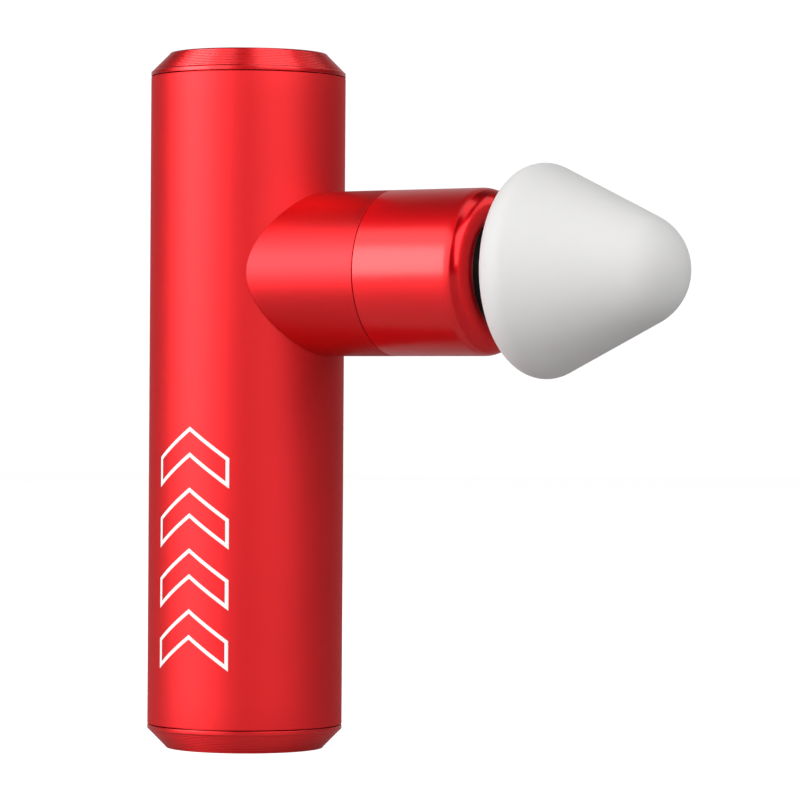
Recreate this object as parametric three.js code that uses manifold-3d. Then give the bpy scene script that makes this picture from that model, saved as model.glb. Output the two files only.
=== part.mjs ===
// Hand-held massage gun. An upright anodised tube holds two cells, the circuit board and a
// brushless motor. The motor's crank drives a plunger through a short arm, and the plunger
// carries a soft head shaped like a rounded cone.
// Frame: millimetres, origin at the centre of the flat base, +Z up the tube, +X along the arm.

import * as THREE from "three";
import { mergeVertices } from "three/addons/utils/BufferGeometryUtils.js";
import Module from "manifold-3d";

const wasm = await Module();
wasm.setup();

// ---- Driving dimensions ----

const GAP = 0.3; // clearance between pieces that rest on each other
const RUNNING_GAP = 0.12; // clearance round a turning or sliding piece
const FAR = 30; // outside the handle, where cutters end
const FINE = 48; // facets round the handle
const MEDIUM = 32; // facets round the arm and the head
const ROUND = 20; // facets round the plunger and its guide
const COARSE = 14; // facets round the other pieces inside

// Handle tube and end caps
const TUBE_RADIUS = 20;
const TUBE_WALL = 1.4;
const TUBE_BORE = TUBE_RADIUS - TUBE_WALL;
const HANDLE_HEIGHT = 142.6;
const CAP_HEIGHT = 4.8; // from the end face to the seam
const CAP_LAND = 0.8; // plain cylindrical band beside the seam
const CAP_FACE_RADIUS = 16.1; // flat end face
const CAP_PLATE = 6.2; // thickness of the cap's middle
const SPIGOT_RADIUS = TUBE_BORE - GAP;
const SPIGOT_BORE = 16.6;
const SPIGOT_END = 10.8; // from the end face
const SEAL_GROOVE_RADIUS = 17;
const SEAL_MIDDLE = 8.05; // from the end face to the middle of the seal
const SEAL_SECTION = 0.7; // radius of the sealing ring's section
const SEAL_GROOVE_HALF = 0.85;
const SEAL_SQUEEZE = 0.08; // between the sealing ring and the tube

// Arm: its axis is level, and crosses the tube's axis
const ARM_Z = 97.1;
const SADDLE_GAP = 0.15; // between the collar and the tube
const ARM_RADIUS = 16.7;
const ARM_BORE = 15.3;
const ARM_SEAM_X = 36.5;
const SLEEVE_FRONT_X = 61.5;
const SLEEVE_LIP_RADIUS = 4.4;
const SLEEVE_MOUTH = 11.6;
const SLEEVE_STEP_X = 57.2;
const NECK_RADIUS = 14.1;
const NECK_WALL = 1.2;
const COLLAR_WEB_X = 22.5;
const COLLAR_WEB = 2;

// Soft head: a rounded rear rim, a straight cone and a round nose
const HEAD_BACK_X = 66.6;
const HEAD_RIM_RING = 16.48;
const HEAD_RIM_RADIUS = 4.76;
const HEAD_NOSE_X = 90.21; // centre of the nose sphere
const HEAD_NOSE_RADIUS = 11.69;
const HEAD_SKIN = 3;
const HEAD_CORE_WALL = 2;
const HEAD_OPENING = 9;
const STEM_RADIUS = 4.6;
const STEM_REAR_X = 45;
const STEM_RING_X = [48.5, 56];
const STEM_RING_SECTION = 0.5;
const STEM_GROOVE_HALF = 0.65;
const STEM_GROOVE_DEPTH = 1;
const VENT_COUNT = 6;
const VENT_RADIUS = 0.7;
const VENT_CIRCLE = 7.65;

// Crank and plunger
const CRANK_RADIUS = 3.5; // half of the stroke
const CRANK_DISC_Z = 104;
const CRANK_DISC = 3;
const ROLLER_RADIUS = 4;
const ROLLER_PLAY = 1.1; // slot clearance at each side of the roller
const YOKE_HALF_HEIGHT = 4;
const YOKE_WALL = 3.1;
const ROD_RADIUS = 6.5;
const ROD_BORE = 4.9;
const ROD_REAR_X = 8.6;
const ROD_FRONT_X = 66.3;
const ROD_THROAT = 3.5; // radius of the bore behind the socket
const PIN_RADIUS = 1.4;
const PIN_HEAD_RADIUS = 2.4;
const SOCKET_REAR_X = 43.5;
const BUSH_RADIUS = 8;
const BUSH_REAR_X = 31;
const BUSH_FRONT_X = 54;
const GUIDE_RADIUS = 13.6;
const GUIDE_REAR_X = 24.8;
const GUIDE_FRONT_X = 55.5;

// Motor, standing on its plate above the crank
const CHASSIS_RADIUS = 18.2;
const CHASSIS_FLOOR_Z = 88.3;
const CHASSIS_FLOOR = 2;
const CHASSIS_SPAN = 14.5; // from the middle to each side wall
const PLATE_Z = 108;
const PLATE = 2;
const SHAFT_RADIUS = 1.25;
const BEARING_RADIUS = 3.3;
const BEARING_WIDTH = 3;
const BEARING_TUBE_RADIUS = 4.2;
const BEARING_TUBE_TOP_Z = 125;
const CORE_Z = 114;
const CORE_HEIGHT = 9;
const CORE_TEETH = 9;
const TOOTH_WIDTH = 1.8;
const SHOE_RADIUS = 11.5;
const MAGNET_RADIUS = 13;
const BELL_RADIUS = 14.7;
const BELL_Z = 111.8;
const BELL_TOP_Z = 127.6;
const LEAD_NOTCH_X = -15.4;
const LEAD_NOTCH_HALF = 7.6;
const SCREW_X = 5;
const SCREW_Y = 15.9;
const SCREW_RADIUS = 0.8;
const SCREW_HEAD_RADIUS = 1.4;
const SCREW_HEAD = 1.1;
const SCREW_HOLE = 1.1;
const SCREW_DEPTH = 6; // below the plate

// Battery
const CELL_RADIUS = 9;
const CELL_LENGTH = 49.5;
const CELL_Y = 9.2;
const CELL_Z = 13.2;
const HOLDER_Z = SPIGOT_END + GAP;
const HOLDER_PLATE = 1.2;
const TAB = 0.3;
const HOLDER_TOP_Z = CELL_Z + CELL_LENGTH + 3 * GAP + HOLDER_PLATE;

// Electronics
const BOARD_Z = 70;
const BOARD = 1.2;
const BOARD_RADIUS = 18;
const PORT_Z = 22;
const PORT_WIDTH = 8.9;
const PORT_HEIGHT = 3.2;
const PORT_MOUTH_X = -19.7;
const CHARGE_BOARD_X = -12.8;
const LIGHT_COUNT = 4;
const LIGHT_PITCH = 4;
const FIRST_LIGHT_Z = 33;
const LIGHT_RADIUS = 0.75;
const PORT_CLEARANCE = 0.7; // added to the port's width and height in the wall
const PORT_SHELL = 0.35;

// Power button in the top cap; depths are measured down from the top face
const BUTTON_RADIUS = 6.75;
const BUTTON_FLANGE = 8.8;
const BUTTON_WELL = 9.3;
const LIGHT_RING_RADIUS = 8.05;
const CAP_OPENING = LIGHT_RING_RADIUS + 0.25;
const CAP_OPENING_DEPTH = 3.4;
const BUTTON_BOARD_DEPTH = 11.1;

// ---- Finishes ----

const FINISH = {
  mattRed: { color: 0xe0202e, roughness: 0.42, metalness: 0.85 },
  polishedRed: { color: 0xc8101c, roughness: 0.2, metalness: 0.95 },
  silicone: { color: 0xe2e0de, roughness: 0.6, metalness: 0 },
  blackRubber: { color: 0x141414, roughness: 0.7, metalness: 0 },
  blackPlastic: { color: 0x1d1e20, roughness: 0.5, metalness: 0 },
  greyPlastic: { color: 0x7f8488, roughness: 0.55, metalness: 0 },
  clearPlastic: { color: 0xe8f0f2, roughness: 0.15, metalness: 0 },
  circuitBoard: { color: 0x175c36, roughness: 0.45, metalness: 0 },
  steel: { color: 0xb4b7ba, roughness: 0.3, metalness: 1 },
  darkSteel: { color: 0x4c4f54, roughness: 0.4, metalness: 1 },
  bronze: { color: 0xa07840, roughness: 0.4, metalness: 1 },
  copper: { color: 0xb46a3c, roughness: 0.35, metalness: 1 },
  nickel: { color: 0xc9c7bd, roughness: 0.3, metalness: 1 },
  cellWrap: { color: 0x2c7a9c, roughness: 0.35, metalness: 0 },
  aluminium: { color: 0xc0c3c6, roughness: 0.35, metalness: 1 },
  foam: { color: 0x3a3a3c, roughness: 0.95, metalness: 0 },
};

// ---- Making shapes ----

function named(name, geometry, finish) {
  const mesh = new THREE.Mesh(geometry, new THREE.MeshStandardMaterial(finish));
  mesh.name = name;
  return mesh;
}

// The signed area of an outline, positive when it runs anticlockwise.
function outlineArea(outline) {
  let area = 0;
  outline.forEach(([x, y], i) => {
    const [nextX, nextY] = outline[(i + 1) % outline.length];
    area += (x * nextY - nextX * y) / 2;
  });
  return area;
}

// A solid turned about Z from [radius, height] points, which run from axis to axis or round a ring.
function turned(outline, facets = COARSE) {
  const profile = outlineArea(outline) < 0 ? [...outline].reverse() : [...outline];
  if (profile[0][0] > 0) profile.push(profile[0]);
  const points = profile.map(([radius, height]) => new THREE.Vector2(radius, height));
  return new THREE.LatheGeometry(points, facets).rotateX(Math.PI / 2);
}

// Lays a solid that was made about Z along the arm, so that its height becomes X.
function alongArm(geometry) {
  return geometry.rotateY(Math.PI / 2).translate(0, 0, ARM_Z);
}

function turnedAlongArm(outline, facets = MEDIUM) {
  return alongArm(turned(outline, facets));
}

function arc(centreRadius, centreHeight, radius, fromDegrees, toDegrees, steps) {
  return Array.from({ length: steps + 1 }, (_, i) => {
    const angle = THREE.MathUtils.degToRad(fromDegrees + ((toDegrees - fromDegrees) * i) / steps);
    return [centreRadius + radius * Math.cos(angle), centreHeight + radius * Math.sin(angle)];
  });
}

function ringOutline(inner, outer, low, high) {
  return [[outer, low], [outer, high], [inner, high], [inner, low]];
}

function block([lowX, highX], [lowY, highY], [lowZ, highZ]) {
  const geometry = new THREE.BoxGeometry(highX - lowX, highY - lowY, highZ - lowZ);
  return geometry.translate((lowX + highX) / 2, (lowY + highY) / 2, (lowZ + highZ) / 2);
}

function post(radius, [lowZ, highZ], x = 0, y = 0, facets = COARSE) {
  const geometry = new THREE.CylinderGeometry(radius, radius, highZ - lowZ, facets);
  return geometry.rotateX(Math.PI / 2).translate(x, y, (lowZ + highZ) / 2);
}

function crossPost(radius, [lowX, highX], y, z, facets = COARSE) {
  const geometry = new THREE.CylinderGeometry(radius, radius, highX - lowX, facets);
  return geometry.rotateZ(-Math.PI / 2).translate((lowX + highX) / 2, y, z);
}

function extruded(shape, low, high) {
  const options = { depth: high - low, bevelEnabled: false, curveSegments: 6 };
  return new THREE.ExtrudeGeometry(shape, options).translate(0, 0, low);
}

// A flat slot with round ends, long in Y and thin in Z, standing out along X.
function slotBlock(width, height, [lowX, highX], z) {
  const reach = (width - height) / 2;
  const shape = new THREE.Shape();
  shape.absarc(reach, 0, height / 2, -Math.PI / 2, Math.PI / 2, false);
  shape.absarc(-reach, 0, height / 2, Math.PI / 2, (3 * Math.PI) / 2, false);
  const geometry = extruded(shape, lowX, highX);
  return geometry.rotateX(Math.PI / 2).rotateZ(Math.PI / 2).translate(0, 0, z);
}

function solid(geometry) {
  const bare = geometry.clone();
  bare.deleteAttribute("normal");
  bare.deleteAttribute("uv");
  const merged = mergeVertices(bare, 1e-4);
  const vertProperties = new Float32Array(merged.attributes.position.array);
  const triVerts = new Uint32Array(merged.index.array);
  return new wasm.Manifold(new wasm.Mesh({ numProp: 3, vertProperties, triVerts }));
}

function geometryOf(made) {
  const { vertProperties, triVerts } = made.getMesh();
  const indexed = new THREE.BufferGeometry();
  indexed.setAttribute("position", new THREE.BufferAttribute(vertProperties, 3));
  indexed.setIndex(new THREE.BufferAttribute(triVerts, 1));
  const geometry = indexed.toNonIndexed();
  geometry.computeVertexNormals();
  return geometry;
}

function cut(geometry, ...cutters) {
  return geometryOf(cutters.reduce((left, cutter) => left.subtract(solid(cutter)), solid(geometry)));
}

function joined(geometry, ...others) {
  return geometryOf(others.reduce((left, other) => left.add(solid(other)), solid(geometry)));
}

// ---- Handle shell ----

function lightPlaces() {
  return Array.from({ length: LIGHT_COUNT }, (_, i) => FIRST_LIGHT_Z + i * LIGHT_PITCH);
}

function bodyTube() {
  const low = CAP_HEIGHT + GAP / 2;
  const high = HANDLE_HEIGHT - CAP_HEIGHT - GAP / 2;
  const wall = turned(ringOutline(TUBE_BORE, TUBE_RADIUS, low, high), FINE);
  const through = [-TUBE_RADIUS - 2, -TUBE_BORE + 3];
  const armHole = crossPost(NECK_RADIUS + GAP, [5, TUBE_RADIUS + 2], 0, ARM_Z, MEDIUM);
  const portHole = slotBlock(PORT_WIDTH + PORT_CLEARANCE, PORT_HEIGHT + PORT_CLEARANCE, through, PORT_Z);
  const lightHoles = lightPlaces().map((z) => crossPost(LIGHT_RADIUS + GAP, through, 0, z, 16));
  return named("body_tube", cut(wall, armHole, portHole, ...lightHoles), FINISH.mattRed);
}

// The outside of an end cap, as [radius, distance from the end face], from the face to the spigot.
function capRim() {
  const seam = CAP_HEIGHT - GAP / 2;
  return [
    [CAP_FACE_RADIUS, 0],
    [TUBE_RADIUS, seam - CAP_LAND],
    [TUBE_RADIUS, seam],
    [SPIGOT_RADIUS, seam],
    [SPIGOT_RADIUS, SEAL_MIDDLE - SEAL_GROOVE_HALF],
    [SEAL_GROOVE_RADIUS, SEAL_MIDDLE - SEAL_GROOVE_HALF],
    [SEAL_GROOVE_RADIUS, SEAL_MIDDLE + SEAL_GROOVE_HALF],
    [SPIGOT_RADIUS, SEAL_MIDDLE + SEAL_GROOVE_HALF],
    [SPIGOT_RADIUS, SPIGOT_END],
    [SPIGOT_BORE, SPIGOT_END],
    [SPIGOT_BORE, CAP_PLATE],
  ];
}

function fromTop(outline) {
  return outline.map(([radius, depth]) => [radius, HANDLE_HEIGHT - depth]);
}

function bottomCap() {
  const outline = [[0, 0], ...capRim(), [0, CAP_PLATE]];
  return named("bottom_cap", turned(outline, FINE), FINISH.mattRed);
}

function topCap() {
  const outline = [
    ...capRim(),
    [BUTTON_WELL, CAP_PLATE],
    [BUTTON_WELL, CAP_OPENING_DEPTH],
    [CAP_OPENING, CAP_OPENING_DEPTH],
    [CAP_OPENING, 0],
  ];
  return named("top_cap", turned(fromTop(outline), FINE), FINISH.mattRed);
}

function capSeal(name, z) {
  const middle = TUBE_BORE - SEAL_SECTION - SEAL_SQUEEZE;
  const section = arc(middle, z, SEAL_SECTION, 0, 300, 5);
  return named(name, turned(section, MEDIUM), FINISH.blackRubber);
}

// ---- Power button ----

function powerButton() {
  const outline = [
    [0, 8.6],
    [1.8, 8.6],
    [1.8, 6.3],
    [BUTTON_FLANGE, 6.3],
    [BUTTON_FLANGE, 5],
    [BUTTON_RADIUS, 5],
    [BUTTON_RADIUS, 0.6],
    [BUTTON_RADIUS - 0.45, 0.15],
    [0, 0.4],
  ];
  return named("power_button", turned(fromTop(outline), MEDIUM), FINISH.mattRed);
}

function lightRing() {
  const inner = BUTTON_RADIUS + GAP;
  const outline = [
    [inner, 0.1],
    [LIGHT_RING_RADIUS, 0.1],
    [LIGHT_RING_RADIUS, 3.7],
    [9, 3.7],
    [9, 4.7],
    [inner, 4.7],
  ];
  return named("light_ring", turned(fromTop(outline), MEDIUM), FINISH.clearPlastic);
}

function buttonReturnRing() {
  const outline = fromTop(ringOutline(6.5, 8.5, BUTTON_BOARD_DEPTH - GAP, 7));
  return named("button_return_ring", turned(outline), FINISH.blackRubber);
}

function tactSwitch() {
  const low = HANDLE_HEIGHT - BUTTON_BOARD_DEPTH + GAP;
  const body = block([-3, 3], [-3, 3], [low, low + 1.4]);
  const plunger = post(1.6, [low + 1, low + 1.6], 0, 0, 16);
  return named("tact_switch", joined(body, plunger), FINISH.blackPlastic);
}

function buttonBoard() {
  const top = HANDLE_HEIGHT - BUTTON_BOARD_DEPTH;
  return named("button_board", post(BOARD_RADIUS, [top - BOARD, top]), FINISH.circuitBoard);
}

// ---- Arm ----

function armCollar() {
  const end = ARM_SEAM_X - GAP / 2;
  const rear = 8;
  const sleeve = turnedAlongArm(ringOutline(ARM_BORE, ARM_RADIUS, rear, end));
  const neck = turnedAlongArm(
    ringOutline(NECK_RADIUS - NECK_WALL, NECK_RADIUS, rear, COLLAR_WEB_X + COLLAR_WEB)
  );
  const web = turnedAlongArm(
    ringOutline(NECK_RADIUS - NECK_WALL, ARM_BORE + 0.5, COLLAR_WEB_X, COLLAR_WEB_X + COLLAR_WEB)
  );
  const height = [ARM_Z - FAR, ARM_Z + FAR];
  const saddle = post(TUBE_RADIUS + SADDLE_GAP, height, 0, 0, FINE);
  const inside = post(TUBE_BORE - 0.1, height, 0, 0, FINE);
  const shell = cut(sleeve, saddle);
  return named("arm_collar", joined(shell, cut(neck, inside), web), FINISH.mattRed);
}

function jointRing() {
  const outline = ringOutline(GUIDE_RADIUS + GAP, ARM_BORE - GAP, ARM_SEAM_X - 5.5, ARM_SEAM_X + 5.5);
  return named("joint_ring", turnedAlongArm(outline, ROUND), FINISH.darkSteel);
}

function armSleeve() {
  const lipCentre = SLEEVE_FRONT_X - SLEEVE_LIP_RADIUS;
  const start = ARM_SEAM_X + GAP / 2;
  const outline = [
    [ARM_RADIUS, start],
    ...arc(ARM_RADIUS - SLEEVE_LIP_RADIUS, lipCentre, SLEEVE_LIP_RADIUS, 0, 90, 4),
    [SLEEVE_MOUTH, SLEEVE_FRONT_X - 0.8],
    [SLEEVE_MOUTH, SLEEVE_STEP_X],
    [ARM_BORE, SLEEVE_STEP_X],
    [ARM_BORE, start],
  ];
  return named("arm_sleeve", turnedAlongArm(outline), FINISH.polishedRed);
}

function guideHousing() {
  const hub = BUSH_RADIUS + GAP;
  const hubOuter = hub + 1.6;
  const rim = GUIDE_RADIUS - 1.2;
  const outline = [
    [GUIDE_RADIUS, GUIDE_REAR_X],
    [GUIDE_RADIUS, GUIDE_FRONT_X],
    [rim, GUIDE_FRONT_X],
    [rim, 43],
    [hubOuter, 43],
    [hubOuter, GUIDE_FRONT_X],
    [hub, GUIDE_FRONT_X],
    [hub, BUSH_REAR_X - GAP],
    [ROD_RADIUS + 0.6, BUSH_REAR_X - GAP],
    [ROD_RADIUS + 0.6, BUSH_REAR_X - 2],
    [hubOuter, BUSH_REAR_X - 2],
    [hubOuter, 40],
    [rim, 40],
    [rim, GUIDE_REAR_X],
  ];
  return named("guide_housing", turnedAlongArm(outline, ROUND), FINISH.blackPlastic);
}

function guideBush() {
  const outline = ringOutline(ROD_RADIUS + RUNNING_GAP, BUSH_RADIUS, BUSH_REAR_X, BUSH_FRONT_X);
  return named("guide_bush", turnedAlongArm(outline, ROUND), FINISH.bronze);
}

function vibrationRing() {
  const outline = ringOutline(GUIDE_RADIUS + GAP, ARM_BORE - GAP, 47, 53);
  return named("vibration_ring", turnedAlongArm(outline, ROUND), FINISH.blackRubber);
}

function frontDustSeal() {
  const rear = GUIDE_FRONT_X + GAP;
  const lip = ROD_RADIUS + GAP;
  const outline = [
    [ARM_BORE - GAP, rear],
    [ARM_BORE - GAP, SLEEVE_STEP_X - GAP],
    [SLEEVE_MOUTH - GAP, SLEEVE_STEP_X - GAP],
    [SLEEVE_MOUTH - GAP, SLEEVE_STEP_X + 1],
    [lip + 1.8, SLEEVE_STEP_X + 1],
    [lip + 0.7, SLEEVE_STEP_X + 2.6],
    [lip, SLEEVE_STEP_X + 2.6],
    [lip, rear],
  ];
  return named("front_dust_seal", turnedAlongArm(outline, ROUND), FINISH.blackRubber);
}

// ---- Motor ----

// The cut in the round plates that the flat leads run down through.
function leadNotch() {
  return block([-FAR, LEAD_NOTCH_X], [-LEAD_NOTCH_HALF, LEAD_NOTCH_HALF], [BOARD_Z, HANDLE_HEIGHT]);
}

function screwPlaces() {
  return [
    [-SCREW_X, -SCREW_Y],
    [SCREW_X, -SCREW_Y],
    [SCREW_X, SCREW_Y],
    [-SCREW_X, SCREW_Y],
  ];
}

function motorChassis() {
  const top = PLATE_Z - GAP;
  const blank = post(CHASSIS_RADIUS, [CHASSIS_FLOOR_Z, top], 0, 0, MEDIUM);
  const room = [CHASSIS_FLOOR_Z + CHASSIS_FLOOR, PLATE_Z + 1];
  const chamber = block([-FAR, FAR], [-CHASSIS_SPAN, CHASSIS_SPAN], room);
  const depth = [PLATE_Z - SCREW_DEPTH - 1, PLATE_Z + 1];
  const screwHoles = screwPlaces().map(([x, y]) => post(SCREW_HOLE, depth, x, y, 12));
  return named("motor_chassis", cut(blank, chamber, leadNotch(), ...screwHoles), FINISH.greyPlastic);
}

function motorPlate() {
  const top = PLATE_Z + PLATE;
  const outline = [
    [BEARING_RADIUS + 0.1, PLATE_Z],
    [CHASSIS_RADIUS, PLATE_Z],
    [CHASSIS_RADIUS, top],
    [BEARING_TUBE_RADIUS, top],
    [BEARING_TUBE_RADIUS, BEARING_TUBE_TOP_Z],
    [BEARING_RADIUS + 0.1, BEARING_TUBE_TOP_Z],
  ];
  const depth = [PLATE_Z - 1, top + 1];
  const screwHoles = screwPlaces().map(([x, y]) => post(SCREW_HOLE, depth, x, y, 12));
  return named("motor_plate", cut(turned(outline, MEDIUM), leadNotch(), ...screwHoles), FINISH.aluminium);
}

function plateScrew(number, [x, y]) {
  const tip = PLATE_Z - SCREW_DEPTH;
  const seat = PLATE_Z + PLATE + 0.2;
  const outline = [
    [0, tip],
    [SCREW_RADIUS, tip],
    [SCREW_RADIUS, seat],
    [SCREW_HEAD_RADIUS, seat],
    [SCREW_HEAD_RADIUS, seat + SCREW_HEAD],
    [0, seat + SCREW_HEAD],
  ];
  return named(`plate_screw_${number}`, turned(outline, 12).translate(x, y, 0), FINISH.steel);
}

function bearing(name, z) {
  const outline = ringOutline(SHAFT_RADIUS + RUNNING_GAP, BEARING_RADIUS, z, z + BEARING_WIDTH);
  return named(name, turned(outline), FINISH.steel);
}

function polar(radius, angle) {
  return new THREE.Vector2(radius * Math.cos(angle), radius * Math.sin(angle));
}

function statorCore() {
  const hub = BEARING_TUBE_RADIUS + 2.3;
  const neck = SHOE_RADIUS - 1.3;
  const pitch = (2 * Math.PI) / CORE_TEETH;
  const outline = [];
  for (let tooth = 0; tooth < CORE_TEETH; tooth += 1) {
    const middle = tooth * pitch;
    const corners = [
      [hub, -TOOTH_WIDTH / 2 / hub],
      [neck, -TOOTH_WIDTH / 2 / neck],
      [neck, -0.36 * pitch],
      [SHOE_RADIUS, -0.38 * pitch],
      [SHOE_RADIUS, 0],
      [SHOE_RADIUS, 0.38 * pitch],
      [neck, 0.36 * pitch],
      [neck, TOOTH_WIDTH / 2 / neck],
      [hub, TOOTH_WIDTH / 2 / hub],
    ];
    corners.forEach(([radius, turn]) => outline.push(polar(radius, middle + turn)));
  }
  const shape = new THREE.Shape(outline);
  const bore = new THREE.Path().absarc(0, 0, BEARING_TUBE_RADIUS + GAP, 0, 2 * Math.PI, true);
  shape.holes.push(bore);
  return named("stator_core", extruded(shape, CORE_Z, CORE_Z + CORE_HEIGHT), FINISH.darkSteel);
}

function statorWindings() {
  const overhang = 1.4;
  const low = CORE_Z - overhang;
  const high = CORE_Z + CORE_HEIGHT + overhang;
  const ring = turned(ringOutline(BEARING_TUBE_RADIUS + 2.6, SHOE_RADIUS - 1.7, low, high), MEDIUM);
  const windows = Array.from({ length: CORE_TEETH }, (_, tooth) => {
    const half = TOOTH_WIDTH / 2 + GAP;
    const window = block([4, 12], [-half, half], [CORE_Z - GAP, CORE_Z + CORE_HEIGHT + GAP]);
    return window.rotateZ((tooth * 2 * Math.PI) / CORE_TEETH);
  });
  return named("stator_windings", cut(ring, ...windows), FINISH.copper);
}

function motorBell() {
  const wall = MAGNET_RADIUS + GAP;
  const underside = BELL_TOP_Z - 1.7;
  const outline = [
    [BELL_RADIUS, BELL_Z],
    [BELL_RADIUS, BELL_TOP_Z - 0.6],
    [BELL_RADIUS - 0.6, BELL_TOP_Z],
    [SHAFT_RADIUS + 0.15, BELL_TOP_Z],
    [SHAFT_RADIUS + 0.15, underside],
    [wall, underside],
    [wall, BELL_Z],
  ];
  return named("motor_bell", turned(outline, ROUND), FINISH.steel);
}

function magnetRing() {
  const outline = ringOutline(MAGNET_RADIUS - 1, MAGNET_RADIUS, CORE_Z - 0.5, CORE_Z + CORE_HEIGHT + 0.5);
  return named("magnet_ring", turned(outline, ROUND), FINISH.darkSteel);
}

function motorShaft() {
  const shaft = post(SHAFT_RADIUS, [CRANK_DISC_Z + GAP, BELL_TOP_Z - GAP], 0, 0, ROUND);
  return named("motor_shaft", shaft, FINISH.steel);
}

// ---- Crank and plunger ----

// The crank pin stands at -Y at mid-stroke.
function crankDisc() {
  const low = CRANK_DISC_Z;
  const high = CRANK_DISC_Z + CRANK_DISC;
  const shape = new THREE.Shape();
  shape.absarc(0, 0, 9.8, 0, Math.PI, false);
  shape.absarc(0, 0, 6.2, Math.PI, 2 * Math.PI, false);
  const disc = extruded(shape, low, high);
  const hub = post(3, [high - 1, PLATE_Z - GAP], 0, 0, ROUND);
  const shaftHole = post(SHAFT_RADIUS + 0.15, [low - 1, PLATE_Z], 0, 0, ROUND);
  const pinHole = post(PIN_RADIUS + 0.15, [low - 1, PLATE_Z], 0, -CRANK_RADIUS, COARSE);
  return named("crank_disc", cut(joined(disc, hub), shaftHole, pinHole), FINISH.darkSteel);
}

function crankPin() {
  const outline = [
    [0, ARM_Z - 4.5],
    [PIN_HEAD_RADIUS, ARM_Z - 4.5],
    [PIN_HEAD_RADIUS, ARM_Z - 3.5],
    [PIN_RADIUS, ARM_Z - 3.5],
    [PIN_RADIUS, CRANK_DISC_Z + CRANK_DISC - 0.2],
    [0, CRANK_DISC_Z + CRANK_DISC - 0.2],
  ];
  return named("crank_pin", turned(outline).translate(0, -CRANK_RADIUS, 0), FINISH.steel);
}

function crankRoller() {
  const outline = ringOutline(PIN_RADIUS + 0.15, ROLLER_RADIUS, ARM_Z - 3, ARM_Z + 3);
  return named("crank_roller", turned(outline).translate(0, -CRANK_RADIUS, 0), FINISH.steel);
}

function plungerYoke() {
  const slotHalf = ROLLER_RADIUS + ROLLER_PLAY;
  const slotReach = CRANK_RADIUS + ROLLER_RADIUS + 0.6;
  const low = ARM_Z - YOKE_HALF_HEIGHT;
  const high = ARM_Z + YOKE_HALF_HEIGHT;
  const halfLength = slotHalf + YOKE_WALL;
  const body = block([-halfLength, halfLength], [-slotReach - 3, slotReach + 3], [low, high]);
  const straight = slotReach - slotHalf;
  const shape = new THREE.Shape();
  shape.absarc(0, straight, slotHalf, 0, Math.PI, false);
  shape.absarc(0, -straight, slotHalf, Math.PI, 2 * Math.PI, false);
  return named("plunger_yoke", cut(body, extruded(shape, low - 1, high + 1)), FINISH.aluminium);
}

function plungerRod() {
  const outline = [
    [0, ROD_REAR_X],
    [ROD_RADIUS, ROD_REAR_X],
    [ROD_RADIUS, ROD_FRONT_X - 0.5],
    [ROD_RADIUS - 0.5, ROD_FRONT_X],
    [ROD_BORE + 0.3, ROD_FRONT_X],
    [ROD_BORE, ROD_FRONT_X - 0.3],
    [ROD_BORE, SOCKET_REAR_X],
    [ROD_THROAT, SOCKET_REAR_X],
    [ROD_THROAT, ROD_REAR_X + 4],
    [0, ROD_REAR_X + 4],
  ];
  return named("plunger_rod", turnedAlongArm(outline, ROUND), FINISH.aluminium);
}

// ---- Head ----

// The head's outline set in by a distance, as [radius, x] from the rear rim round to the nose.
function headOutline(inset, rimSteps, noseSteps) {
  const alongX = HEAD_NOSE_X - (HEAD_BACK_X + HEAD_RIM_RADIUS);
  const between = Math.hypot(alongX, HEAD_RIM_RING);
  const fall = Math.acos((HEAD_RIM_RADIUS - HEAD_NOSE_RADIUS) / between);
  const tangent = THREE.MathUtils.radToDeg(fall - Math.atan2(HEAD_RIM_RING, alongX));
  const coneAngle = 90 - tangent;
  const rimX = HEAD_BACK_X + HEAD_RIM_RADIUS;
  return [
    ...arc(HEAD_RIM_RING, rimX, HEAD_RIM_RADIUS - inset, -90, coneAngle, rimSteps),
    ...arc(0, HEAD_NOSE_X, HEAD_NOSE_RADIUS - inset, coneAngle, 90, noseSteps),
  ].map(([radius, x]) => [Math.abs(radius) < 1e-9 ? 0 : radius, x]);
}

function massageHead() {
  const inner = headOutline(HEAD_SKIN, 2, 3).reverse();
  const back = [[HEAD_OPENING, HEAD_BACK_X + HEAD_SKIN], [HEAD_OPENING, HEAD_BACK_X]];
  const outline = [...inner, ...back, ...headOutline(0, 6, 6)];
  return named("massage_head", turnedAlongArm(outline, MEDIUM), FINISH.silicone);
}

function stemGrooves() {
  return STEM_RING_X.flatMap((x) => [
    [STEM_RADIUS, x - STEM_GROOVE_HALF],
    [STEM_RADIUS - STEM_GROOVE_DEPTH, x - STEM_GROOVE_HALF],
    [STEM_RADIUS - STEM_GROOVE_DEPTH, x + STEM_GROOVE_HALF],
    [STEM_RADIUS, x + STEM_GROOVE_HALF],
  ]);
}

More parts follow.
